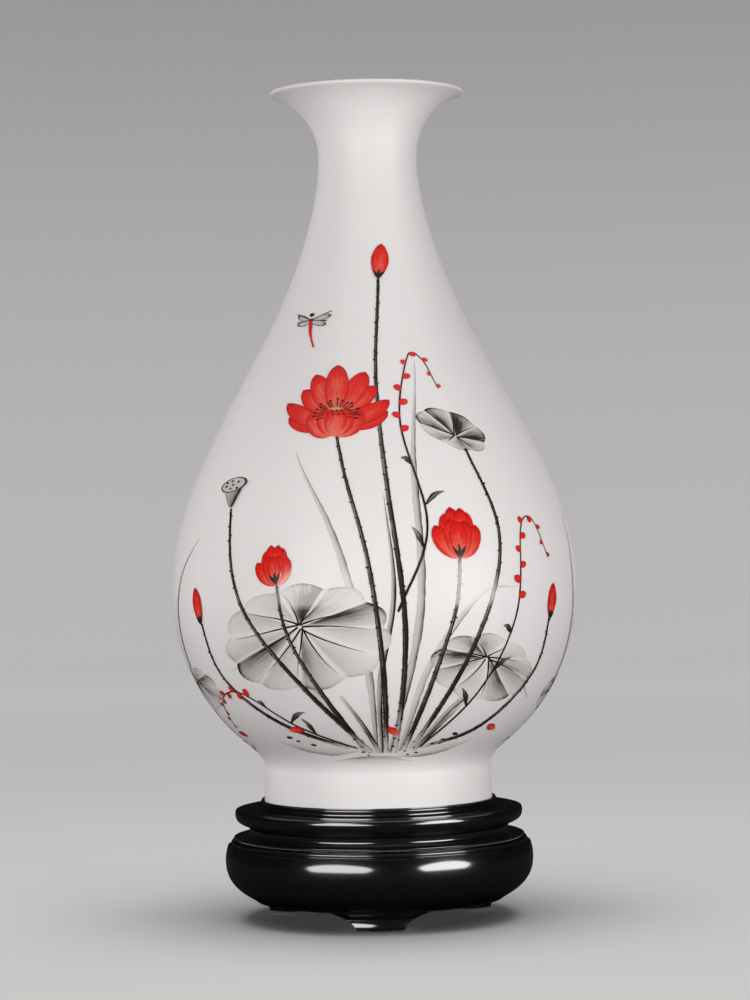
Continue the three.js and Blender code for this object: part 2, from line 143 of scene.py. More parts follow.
class StandSizes(PropertyGroup):
    """Details of the stand. Its outer sizes come from the frame."""

    rim_width: length("Rim width", 1.7, "Wall round the recess that the vase stands in")
    rim_height: length("Rim height", 4.8, "From the ledge up to the top of the rim")
    rim_beads: IntProperty(name="Rim beads", default=2, description="Fine beads turned on the rim")
    recess_depth: length("Recess depth", 4, "From the top of the rim down to the seat")
    ledge_width: length("Ledge width", 4.4, "From the rim out to the edge of the ledge")
    ledge_step: length("Ledge step", 0.6, "Small step from the ledge down to the shoulder")
    board_bulge: length("Board bulge", 2.2, "From the ledge step down to the board's widest place")
    board_corner: length("Board corner", 0.8, "Rounding between the board's side and its top")
    waist_inset: length("Waist inset", 8.1, "From the board's widest place in to the waist")
    waist_fall: length("Waist fall", 2.3, "From the ring's top down to its narrowest place")
    plug_depth: length("Plug depth", 3, "Plug under the board that enters the waist ring")
    bore_radius: length("Bore radius", 50, "Hole through the two rings")
    quirk: length("Quirk", 0.5, "Depth of the fine groove beside a bead")
    pearl_radius: length("Pearl radius", 0.78, "Row of small pearls round the foot of the waist")
    pearl_pitch: length("Pearl pitch", 1.68, "Distance from pearl to pearl")
    belly_drop: length("Belly drop", 22.3, "From the belly ring's underside up to its widest place")
    belly_undercut: length("Belly undercut", 16.6, "From the widest place in to the underside")
    ridge_height: length("Ridge height", 2.2, "Small ridge on top of the belly ring")
    ridge_inset: length("Ridge inset", 3.3, "From the widest place in to the ridge")
    ridge_ledge: length("Ridge ledge", 2, "From the ridge out to the edge of the swelling")
    spigot_width: length("Spigot width", 6, "Spigot that enters the waist ring from below")
    spigot_height: length("Spigot height", 3, "Height of that spigot")
    toe_width: length("Toe width", 26.4, "Width of a foot where it stands")
    foot_top_width: length("Foot top width", 53, "Width of a foot under the belly ring")
    flank_curve: amount("Flank curve", 1.8, "The greater it is, the nearer to the top the flanks spread")
    toe_inset: length("Toe inset", 3.4, "From the edge of the belly ring's underside in to the toe")
    toe_edge: length("Toe edge", 0.9, "Rounding under the toe")
    toe_height: length("Toe height", 5.4, "From the floor side up to the narrowest place over the toe")
    toe_swell: length("Toe swell", 0.9, "How far the toe stands before that place")
    heel_inset: length("Heel inset", 18, "From the edge of the belly ring's underside in to the heel")
    edge: length("Edge", 0.35, "Rounding of the turned edges")
    hole_radius: length("Hole radius", 2.3, "Holes for the screws' shanks")
    head_hole_radius: length("Head hole radius", 4.3, "Holes for the screws' heads")
    head_height: length("Head height", 2.4, "Height of a screw's countersunk head")


class PaintingSizes(PropertyGroup):
    """Sizes of what is painted on the vase."""

    blossom: length("Blossom", 29, "Reach of the open blossom's petals")
    half_blossom: length("Half-open blossom", 26, "Reach of the half-open blossom's petals")
    bud: length("Bud", 21, "Length of the tallest bud")
    stem: length("Stem", 2.5, "Width of a lotus stem")
    blade: length("Blade", 4.6, "Widest place of a reed's blade")
    berry: length("Berry", 5.4, "Length of the largest bud on a water pepper's spray")
    film: length("Film", 0.03, "Thickness of the enamel")
    lift: length("Lift", 0.06, "Height of the lowest wash over the glaze")
    layer: length("Layer", 0.006, "Step from one stroke up to the next one over it")
    grid: length("Grid", 1.4, "Longest edge of a leaf's faces")
    stroke_grid: length("Stroke grid", 0.9, "Longest edge of a stroke's faces")


class Finishes(PropertyGroup):
    """Colours and gloss of the materials."""

    porcelain: colour("Porcelain", (0.79, 0.77, 0.768), "Glazed porcelain")
    biscuit: colour("Biscuit", (0.62, 0.54, 0.45), "Bare porcelain under the foot ring")
    porcelain_roughness: share("Porcelain roughness", 0.46, "Satin glaze of the vase")
    ink_dark: colour("Dark ink", (0.019, 0.013, 0.010), "Full brush of ink")
    ink_pale: colour("Pale ink", (0.30, 0.262, 0.238), "Thin wash of ink")
    scarlet: colour("Scarlet", (0.70, 0.019, 0.013), "Petals and buds")
    scarlet_deep: colour("Deep scarlet", (0.34, 0.004, 0.006), "Rims and tips of the petals")
    scarlet_pale: colour("Pale scarlet", (0.80, 0.17, 0.12), "Thin enamel near the petals' roots")
    ochre: colour("Ochre", (0.52, 0.36, 0.14), "Heart of the open blossom")
    enamel_roughness: share("Enamel roughness", 0.16, "Fired enamel")
    lacquer: colour("Lacquer", (0.0035, 0.0033, 0.0037), "Black lacquered wood")
    # Brown on the crests: lacquer rubbed thin, and a painted reflection of a brown tabletop along the edges
    lacquer_worn_and_reflected: colour("Worn lacquer", (0.045, 0.03, 0.022), "Lacquer rubbed thin on the edges")
    lacquer_roughness: share("Lacquer roughness", 0.26, "Semi-gloss lacquer")
    felt: colour("Felt", (0.012, 0.0115, 0.013), "Black felt")
    steel: colour("Steel", (0.52, 0.51, 0.49), "Zinc-plated screws")


class StageSizes(PropertyGroup):
    """The camera and the studio round the object."""

    distance: length("Camera distance", 1670, "From the object's axis to the camera")
    eye_height: length("Eye height", 233.4, "Height of the camera over the floor")
    aside: length("Camera aside", 0.95, "How far the camera stands right of the object's axis")
    roll: angle("Camera roll", 1.0, "Turn of the camera about its line of sight")
    lens: FloatProperty(
        name="Lens", default=107.1, description="Focal length on a 36 mm sensor", unit="CAMERA"
    )
    floor: colour("Floor", (0.80, 0.795, 0.785), "Plain pale floor and backdrop")
    dark: colour("Dark studio", (0.035, 0.034, 0.034), "What the object mirrors round the softboxes")
    glow: amount("Glow", 0.34, "Even light that the backdrop shows")
    fill: amount("Fill", 0.15, "Strength of the even light all round")
    softbox: amount("Softboxes", 11.4, "Radiance of the softboxes")
    side: amount("Side lamps", 2.1, "Radiance of the lamps at the sides")
    top: amount("Top light", 0.4, "Radiance of the light overhead")
    floor_light: amount("Floor light", 2.0, "Radiance of the floor's own light")


class PaintedVase(PropertyGroup):
    """All settings of the painted vase."""

    vase: PointerProperty(type=VaseSizes, name="Vase")
    stand: PointerProperty(type=StandSizes, name="Stand")
    painting: PointerProperty(type=PaintingSizes, name="Painting")
    finish: PointerProperty(type=Finishes, name="Finishes")
    stage: PointerProperty(type=StageSizes, name="Stage")


# Outlines, as points of a radius and a height

def heading(lean):
    return Vector((math.cos(lean), math.sin(lean)))


def bend(start, start_lean, start_hold, end, end_lean, end_hold, steps=CURVE_STEPS):
    """A curved stretch that keeps close to each lean for its hold, a share of the straight distance."""
    start, end = Vector(start), Vector(end)
    reach = (end - start).length
    leave = start + heading(start_lean) * reach * start_hold
    arrive = end - heading(end_lean) * reach * end_hold
    return geometry.interpolate_bezier(start, leave, arrive, end, steps + 1)


def arc(centre, radius, start, end, steps):
    centre = Vector(centre)
    return [centre + heading(start + (end - start) * step / steps) * radius for step in range(steps + 1)]


def raised(outline, height):
    return [Vector((radius, level + height)) for radius, level in outline]


# An outline that turns by less than this keeps its corner
SLIGHT_TURN = math.radians(28)


def softened(outline, reach):
    """The outline with each sharp corner replaced by a small curve."""
    soft = [Vector(outline[0])]
    for before, corner, after in zip(outline, outline[1:], outline[2:]):
        before, corner, after = Vector(before), Vector(corner), Vector(after)
        back, ahead = before - corner, after - corner
        if back.length < DOUBLE or ahead.length < DOUBLE or math.pi - back.angle(ahead) < SLIGHT_TURN:
            soft.append(corner)
            continue
        start = corner + back.normalized() * min(reach, back.length * 0.45)
        end = corner + ahead.normalized() * min(reach, ahead.length * 0.45)
        soft += geometry.interpolate_bezier(start, corner, corner, end, CORNER_STEPS + 1)
    return [*soft, Vector(outline[-1])]


def wall_places(size):
    """The places that the vase's wall runs through: radius, height and lean."""
    base = size.foot_height + size.base_rise
    belly = base + size.belly_rise
    shoulder = belly + size.shoulder_rise
    neck = shoulder + size.neck_rise
    belly_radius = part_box("vase_body")[1].x - size.enamel_room
    return {
        "foot": (size.foot_radius, size.foot_height, UPRIGHT),
        "base": (size.foot_radius + size.base_flare, base, size.base_lean),
        "belly": (belly_radius, belly, UPRIGHT),
        "shoulder": (size.neck_radius + size.shoulder_spread, shoulder, size.shoulder_lean),
        "neck": (size.neck_radius, neck, UPRIGHT),
        "lip": (size.neck_radius + size.lip_flare, neck + size.lip_rise, size.lip_lean),
    }


# The stretches of the wall, from place to place, with how long each keeps its lean
WALL_STRETCHES = (
    ("foot", 0.23, "base", 0.6),
    ("base", 0.43, "belly", 0.21),
    ("belly", 0.285, "shoulder", 0.515),
    ("shoulder", 0.46, "neck", 0.19),
    ("neck", 0.58, "lip", 0.15),
)


def wall_point(place, inset):
    """A place of the wall, moved square to the wall by the inset."""
    radius, height, lean = place
    along = heading(lean)
    return Vector((radius - inset * along.y, height + inset * along.x))


def wall_run(places, inset, lip, stretch_steps):
    """The wall's outline from the foot up to a point on the lip."""
    run = []
    for (start, start_hold, end, end_hold), steps in zip(WALL_STRETCHES, stretch_steps):
        leave = wall_point(places[start], inset)
        arrive = lip if end == "lip" else wall_point(places[end], inset)
        run += bend(leave, places[start][2], start_hold, arrive, places[end][2], end_hold, steps)[bool(run):]
    return run


def vase_outline(size):
    places = wall_places(size)
    ring_outer = size.foot_radius + size.foot_spread
    ring_inner = ring_outer - size.foot_ring_width
    hollow = ring_inner - size.foot_recess
    round_lip = size.lip_edge
    lip_outer = wall_point(places["lip"], round_lip)
    level_width = (size.lip_thickness - 2 * round_lip) / math.sin(size.lip_lean)
    lip_inner = lip_outer - Vector((level_width, 0))
    square = heading(size.lip_lean + UPRIGHT)
    outside = wall_run(places, 0, wall_point(places["lip"], 0), OUTSIDE_STEPS)
    inside = wall_run(places, size.wall, lip_inner + square * round_lip, INSIDE_STEPS)[::-1]
    floor = size.foot_recess + size.floor_thickness
    floor_radius = size.foot_radius - size.wall - (size.foot_height - floor)
    edge = size.foot_edge
    return [
        (0, size.foot_recess),
        *bend((hollow, size.foot_recess), LEVEL, 0.5, (ring_inner, edge), DOWN, 0.3, SHORT_CURVE_STEPS),
        *arc((ring_inner + edge, edge), edge, BACK, BACK + UPRIGHT, CORNER_STEPS)[1:],
        *arc((ring_outer - edge, edge), edge, DOWN, LEVEL, CORNER_STEPS),
        *outside,
        *arc(lip_outer, round_lip, size.lip_lean - UPRIGHT, UPRIGHT, 2 * CORNER_STEPS)[1:],
        *arc(lip_inner, round_lip, UPRIGHT, size.lip_lean + UPRIGHT, CORNER_STEPS)[:-1],
        *inside,
        *bend(inside[-1], DOWN, 0.4, (floor_radius, floor), BACK, 0.4, SHORT_CURVE_STEPS)[1:],
        (0, floor),
    ]


# Meshes and pieces

def spun(outline, steps=ROUND_STEPS, closed=False):
    """A body of revolution about Z."""
    bm = bmesh.new()
    verts = [bm.verts.new((radius, 0, height)) for radius, height in outline]
    edges = [bm.edges.new(pair) for pair in zip(verts, verts[1:])]
    if closed:
        edges.append(bm.edges.new((verts[-1], verts[0])))
    bmesh.ops.spin(
        bm, geom=verts + edges, cent=(0, 0, 0), axis=(0, 0, 1),
        angle=FULL_TURN, steps=steps, use_merge=True,
    )
    bmesh.ops.remove_doubles(bm, verts=bm.verts, dist=DOUBLE)
    bmesh.ops.recalc_face_normals(bm, faces=bm.faces)
    return bm


def mesh_of(bm, name, sharpest=40):
    mesh = bpy.data.meshes.new(name)
    for face in bm.faces:
        face.smooth = True
    bm.to_mesh(mesh)
    bm.free()
    mesh.set_sharp_from_angle(angle=math.radians(sharpest))
    return mesh


def add_piece(mesh, material, body, slot, *replaced):
    """Shows a mesh as a piece that rides on a body and stands for the CAD nodes named last."""
    piece = bpy.data.objects.new(mesh.name, mesh)
    bpy.context.scene.collection.objects.link(piece)
    mesh.materials.append(material)
    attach(piece, body)
    if replaced:
        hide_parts(*replaced)
    return piece


def drilled(mesh, cutter):
    """The mesh with holes where the closed shells of the cutter are."""
    body = bpy.data.objects.new(mesh.name, mesh)
    tool = bpy.data.objects.new("cutter", mesh_of(cutter, "cutter"))
    for item in (body, tool):
        bpy.context.scene.collection.objects.link(item)
    holes = body.modifiers.new("Holes", "BOOLEAN")
    holes.operation = "DIFFERENCE"
    holes.solver = "MANIFOLD"
    holes.object = tool
    graph = bpy.context.evaluated_depsgraph_get()
    result = bpy.data.meshes.new_from_object(body.evaluated_get(graph))
    if len(result.vertices) <= len(mesh.vertices):
        raise RuntimeError(f"no holes were cut in {mesh.name}")
    name = mesh.name
    for item in (body, tool):
        bpy.data.objects.remove(item)
    mesh.name = name + "_uncut"
    result.name = name
    result.materials.clear()
    return result


def ringed(one, radius, count, first=0.0):
    """Copies of a shape at even angles round Z. The first angle is counted from the back."""
    part = bpy.data.meshes.new("copied")
    one.to_mesh(part)
    one.free()
    part.transform(Matrix.Rotation(first, 4, "Z") @ Matrix.Translation((0, radius, 0)))
    ring = bmesh.new()
    for _ in range(count):
        ring.from_mesh(part)
        part.transform(Matrix.Rotation(FULL_TURN / count, 4, "Z"))
    bpy.data.meshes.remove(part)
    return ring


def hole_ring(outline, radius, count, first=0.0):
    """Closed shells of a turned outline, at even angles round Z."""
    return ringed(spun(outline, SMALL_ROUND_STEPS), radius, count, first)


# Shader maths

class Term:
    """A node's output. Arithmetic on terms adds Math nodes."""

    def __init__(self, finish, output):
        self.finish = finish
        self.output = output

    def maths(self, operation, first, second=0.0):
        return self.finish.node("ShaderNodeMath", {"operation": operation}, {0: first, 1: second})

    def __add__(self, other):
        return self.maths("ADD", self, other)

    def __sub__(self, other):
        return self.maths("SUBTRACT", self, other)

    def __rsub__(self, other):
        return self.maths("SUBTRACT", other, self)

    def __mul__(self, other):
        return self.maths("MULTIPLY", self, other)

    def __gt__(self, other):
        return self.maths("GREATER_THAN", self, other)

    __radd__ = __add__
    __rmul__ = __mul__

    def clamped(self):
        return self.finish.node("ShaderNodeClamp", {}, {"Value": self})

    def ramped(self, low, high):
        """0 up to low, 1 from high on, and smooth between."""
        sockets = {"Value": self, "From Min": low, "From Max": high}
        return self.finish.node("ShaderNodeMapRange", {"interpolation_type": "SMOOTHSTEP"}, sockets)


class Finish:
    """A material being put together from nodes."""

    def __init__(self, name):
        self.material = bpy.data.materials.new(name)
        self.material.use_nodes = True
        self.tree = self.material.node_tree
        self.tree.nodes.clear()

    def node(self, kind, settings, sockets, output=0):
        """Adds a node: its settings, then the values or links of its sockets. Returns one output, if any."""
        made = self.tree.nodes.new(kind)
        for name, value in settings.items():
            setattr(made, name, value)
        for name, value in sockets.items():
            socket = made.inputs[name]
            if isinstance(value, Term):
                self.tree.links.new(value.output, socket)
            else:
                socket.default_value = (*value, 1.0) if socket.type == "RGBA" else value
        return None if output is None else Term(self, made.outputs[output])

    def mixed(self, share, first, second):
        """A colour between two colours."""
        return self.node("ShaderNodeMix", {"data_type": "RGBA"}, {0: share, 6: first, 7: second}, 2)

    def place(self):
        return self.node("ShaderNodeTexCoord", {}, {}, "Object")

    def attribute(self, name):
        return self.node("ShaderNodeAttribute", {"attribute_name": name}, {}, "Vector")

    def parts(self, vector):
        split = self.node("ShaderNodeSeparateXYZ", {}, {"Vector": vector}).output.node
        return [Term(self, output) for output in split.outputs]

    def scaled(self, vector, scale, shift=(0, 0, 0)):
        return self.node("ShaderNodeMapping", {}, {"Vector": vector, "Scale": scale, "Location": shift})

    def grains(self, vector, scale, detail=2.0, roughness=0.5):
        sockets = {"Vector": vector, "Scale": scale, "Detail": detail, "Roughness": roughness}
        return self.node("ShaderNodeTexNoise", {}, sockets)

    def bump(self, height, depth):
        return self.node("ShaderNodeBump", {}, {"Height": height, "Distance": depth, "Strength": 1.0})

    def shader(self, **sockets):
        names = [name.replace("_", " ").title().replace("Ior", "IOR") for name in sockets]
        return self.node("ShaderNodeBsdfPrincipled", {}, dict(zip(names, sockets.values())))

    def closed(self, shader):
        self.node("ShaderNodeOutputMaterial", {}, {"Surface": shader}, None)
        return self.material

    def done(self, **sockets):
        return self.closed(self.shader(**sockets))


def once(make):
    """Keeps a material after it is first made."""
    made = {}

    def keep(look):
        if make.__name__ not in made:
            made[make.__name__] = make(look)
        return made[make.__name__]

    return keep


def shaded(tint, strength):
    """A colour made darker or lighter."""
    return [part * strength for part in tint]


def glaze_colour(finish, look):
    """The porcelain under and between the strokes, with a faint cloudiness."""
    cloud = finish.grains(finish.place(), 18.0, 3.0)
    return finish.mixed(cloud.ramped(0.3, 0.7) * 0.5, look.porcelain, shaded(look.porcelain, 0.955))


# A satin glaze mirrors less than a glossy one
GLAZE_SHINE = 0.33


def glaze_peel(finish):
    """The glaze's fine unevenness."""
    return finish.grains(finish.place(), 420.0, 2.0)


@once
def porcelain(look):
    finish = Finish("porcelain_glaze")
    place = finish.place()
    height = finish.parts(place)[2]
    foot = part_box("vase_body")[0].z
    glazed = (height + finish.grains(place, 300.0) * 0.0006).ramped(foot + 0.0009, foot + 0.0015)
    cells = finish.node("ShaderNodeTexVoronoi", {}, {"Vector": place, "Scale": 150.0})
    rare = finish.grains(place, 55.0, 0.0) > 0.66
    speck = (1 - cells.ramped(0.02, 0.075)) * rare * 0.35
    body = finish.mixed(speck, glaze_colour(finish, look), look.biscuit)
    wear = finish.grains(place, 35.0, 4.0) * 0.10
    return finish.done(
        base_color=finish.mixed(glazed, look.biscuit, body),
        roughness=look.porcelain_roughness - 0.05 + wear + (1 - glazed) * 0.4,
        specular_ior_level=GLAZE_SHINE,
        normal=finish.bump(glaze_peel(finish), 0.00003),
    )


def enamelled(finish, look, cover, paint):
    """Paint where cover is 1 and bare glaze where it is 0."""
    relief = glaze_peel(finish) * 0.25 + cover * 0.8
    return finish.done(
        base_color=finish.mixed(cover, glaze_colour(finish, look), paint),
        roughness=look.porcelain_roughness - cover * (look.porcelain_roughness - look.enamel_roughness),
        specular_ior_level=GLAZE_SHINE,
        coat_weight=cover * 0.9,
        coat_roughness=0.12,
        coat_ior=1.6,
        normal=finish.bump(relief, 0.00005),
    )


@once
def ink(look):
    """Brushed ink: the load holds its tone and how dry the brush is, and the brush runs along x."""
    finish = Finish("ink_wash")
    brush = finish.attribute("brush")
    tone, dry, _ = finish.parts(finish.attribute("load"))
    streaks = finish.grains(brush, 1.0, 3.0, 0.6)
    hairs = finish.grains(finish.scaled(brush, (1.0, 2.3, 1.0), (5, 3, 1)), 1.0, 2.0, 0.55)
    pools = finish.grains(finish.place(), 95.0, 2.0)
    varied = tone * (0.42 + streaks * 0.8 + pools * 0.36)
    kept = ((hairs - dry) * 9.0 + 0.8).clamped()
    depth = (varied * kept).clamped()
    paint = finish.mixed(depth.ramped(0.1, 0.85), look.ink_pale, look.ink_dark)
    return enamelled(finish, look, (depth * 1.5).clamped(), paint)


@once
def scarlet(look):
    """Scarlet enamel: the load holds how deep it lies and how much of it covers the glaze."""
    finish = Finish("scarlet_enamel")
    depth, cover, _ = finish.parts(finish.attribute("load"))
    streaks = finish.grains(finish.attribute("brush"), 1.0, 3.0, 0.6)
    pools = finish.grains(finish.place(), 160.0, 2.0)
    varied = depth + (streaks - 0.5) * 0.55 + (pools - 0.5) * 0.3
    light = finish.mixed(varied.ramped(0.05, 0.5), look.scarlet_pale, look.scarlet)
    return enamelled(finish, look, cover, finish.mixed(varied.ramped(0.62, 1.15), light, look.scarlet_deep))


@once
def ochre(look):
    finish = Finish("ochre_enamel")
    tone, cover, _ = finish.parts(finish.attribute("load"))
    streaks = finish.grains(finish.attribute("brush"), 1.0, 3.0, 0.6)
    shade = finish.mixed((tone + streaks - 0.5).ramped(0.2, 1.0), look.ochre, look.ink_dark)
    return enamelled(finish, look, cover, shade)


@once
def lacquer(look):
    """Black lacquer on turned wood, with the pores showing faintly and the crests lighter brown: rubbed
    thin, and with a painted reflection.
    """
    finish = Finish("black_lacquer")
    place = finish.place()
    pores = finish.grains(finish.scaled(place, (60.0, 900.0, 900.0)), 1.0, 3.0, 0.6)
    flow = finish.grains(place, 60.0, 2.0)
    height = finish.parts(place)[2]
    away = [height - level for level in crest_levels()]
    # Squares of distances: a crest's rubbed wear and painted reflection lie within 0.1 mm of it, and none
    # from 0.7 mm on
    crests = [1 - (distance * distance).ramped(1e-8, 5e-7) for distance in away]
    crest = sum(crests[1:], crests[0])
    # Painted reflection and rubbed wear together: lighter brown in patches along the crests
    rubbed_and_reflected = (crest * finish.grains(place, 240.0, 4.0).ramped(0.52, 0.8)).clamped()
    dust = finish.grains(place, 800.0, 0.0).ramped(0.74, 0.8)
    return finish.done(
        base_color=finish.mixed((rubbed_and_reflected * 0.6 + dust * 0.2).clamped(), look.lacquer, look.lacquer_worn_and_reflected),
        roughness=look.lacquer_roughness + (pores - 0.5) * 0.08 + flow * 0.05 + dust * 0.2,
        specular_ior_level=0.08,
        coat_weight=0.92 - rubbed_and_reflected * 0.3,
        coat_roughness=0.115,
        coat_ior=2.1,
        normal=finish.bump(pores * 0.6 + flow * 0.4, 0.00006),
    )


def crest_levels():
    """Heights of the crests that hands rub and that carry a painted reflection: the rim, the row of pearls
    and the ridge.
    """
    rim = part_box("seat_board")[1].z
    waist_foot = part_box("waist_ring")[0].z
    return rim, waist_foot + 1 * MM, waist_foot - 1.2 * MM


@once
def felt(look):
    finish = Finish("black_felt")
    place = finish.place()
    fluff = finish.grains(place, 2600.0, 4.0, 0.7)
    clumps = finish.grains(place, 320.0, 3.0)
    lighter = (fluff * 0.6 + clumps * 0.5 - 0.1).clamped()
    return finish.done(
        base_color=finish.mixed(lighter, look.felt, shaded(look.felt, 2.6)),
        roughness=0.96,
        sheen_weight=0.2,
        sheen_roughness=0.5,
        normal=finish.bump(fluff + clumps * 0.5, 0.0002),
    )


@once
def steel(look):
    """Zinc-plated steel, brushed round by the screw machine."""
    finish = Finish("zinc_plated_steel")
    place = finish.place()
    turning = finish.grains(finish.scaled(place, (500.0, 500.0, 6000.0)), 1.0, 2.0)
    plating = finish.grains(place, 700.0, 3.0)
    return finish.done(
        base_color=finish.mixed(plating.ramped(0.35, 0.7), look.steel, shaded(look.steel, 0.7)),
        metallic=1.0,
        roughness=0.24 + turning * 0.16 + plating * 0.08,
        normal=finish.bump(turning, 0.00003),
    )


# The painting

class Glaze:
    """The vase's outside as a sheet: a spot is an angle from the front and a length up the wall."""

    def __init__(self, size):
        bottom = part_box("vase_body")[0].z
        places = wall_places(size)
        self.wall = raised(wall_run(places, 0, wall_point(places["lip"], 0), OUTSIDE_STEPS), bottom)
        self.bottom = bottom
        self.belly = max(point.x for point in self.wall)
        self.heights = [point.y for point in self.wall]
        self.lengths = [0.0]
        for low, high in zip(self.wall, self.wall[1:]):
            self.lengths.append(self.lengths[-1] + (high - low).length)

    def spot(self, place):
        """The spot at a place: millimetres round the belly from the front, and over the foot."""
        height = self.bottom + place[1] * MM
        step = self.step(self.heights, height)
        low, high = self.heights[step], self.heights[step + 1]
        part = (height - low) / (high - low)
        length_up = self.lengths[step] + part * (self.lengths[step + 1] - self.lengths[step])
        return place[0] * MM / self.belly, length_up

    def step(self, values, value):
        return min(max(bisect.bisect(values, value) - 1, 0), len(values) - 2)

    def profile(self, length_up):
        step = self.step(self.lengths, length_up)
        along = (self.wall[step + 1] - self.wall[step]).normalized()
        return self.wall[step] + along * (length_up - self.lengths[step]), along

    def moved(self, spot, right, up):
        length_up = spot[1] + up
        return spot[0] + right / self.profile(length_up)[0].x, length_up

    def over(self, spot, lift):
        """The point over a spot, off the glaze by the lift."""
        point, along = self.profile(spot[1])
        radius, height = point.x + lift * along.y, point.y - lift * along.x
        return Vector((radius * math.sin(spot[0]), -radius * math.cos(spot[0]), height))


def smooth(low, high, value):
    part = min(max((value - low) / (high - low), 0.0), 1.0)
    return part * part * (3 - 2 * part)


def between(values, part):
    """The value at a part of the way through a row of values."""
    spread = part * (len(values) - 1)
    step = min(int(spread), len(values) - 2)
    return values[step] + (values[step + 1] - values[step]) * (spread - step)


def flowing(points):
    """A smooth run through a few places."""
    points = [Vector(point) for point in points]
    padded = [2 * points[0] - points[1], *points, 2 * points[-1] - points[-2]]
    run = []
    for before, start, end, after in zip(padded, padded[1:], padded[2:], padded[3:]):
        leave, arrive = start + (end - before) / 6, end - (after - start) / 6
        run += geometry.interpolate_bezier(start, leave, arrive, end, BOW_STEPS + 1)[bool(run):]
    return run


def pointing(turn):
    """A direction on the glaze. The turn is in degrees, clockwise from upright."""
    turn = math.radians(turn)
    return Vector((math.sin(turn), math.cos(turn)))


def wobble(x, seed, fineness=1.0):
    return noise.noise(Vector((x * fineness, seed * 7.31, 0.5)))


class Run:
    """A smooth path over the glaze through a few spots."""

    def __init__(self, glaze, spots):
        self.glaze = glaze
        self.spots = flowing(spots)
        self.reach = [0.0]
        for one, two in zip(self.spots, self.spots[1:]):
            radius = glaze.profile(one[1])[0].x
            self.reach.append(self.reach[-1] + math.hypot((two[0] - one[0]) * radius, two[1] - one[1]))
        self.length = self.reach[-1]

    def at(self, gone):
        """The spot and the heading after a distance, across and up the glaze."""
        step = self.glaze.step(self.reach, gone)
        one, two = self.spots[step], self.spots[step + 1]
        radius = self.glaze.profile(one[1])[0].x
        ahead = Vector(((two[0] - one[0]) * radius, two[1] - one[1])).normalized()
        return one.lerp(two, (gone - self.reach[step]) / (self.reach[step + 1] - self.reach[step])), ahead

    def beside(self, gone, aside):
        """The spot at a distance to the left of the path."""
        spot, ahead = self.at(gone)
        return self.glaze.moved(spot, -ahead.y * aside, ahead.x * aside)


# Where a petal is widest, in shares of its length
PETAL_WIDEST = 0.547


def swelling(part):
    """How wide a petal is at a part of its length."""
    return part ** 0.75 * (1 - part) ** 0.62


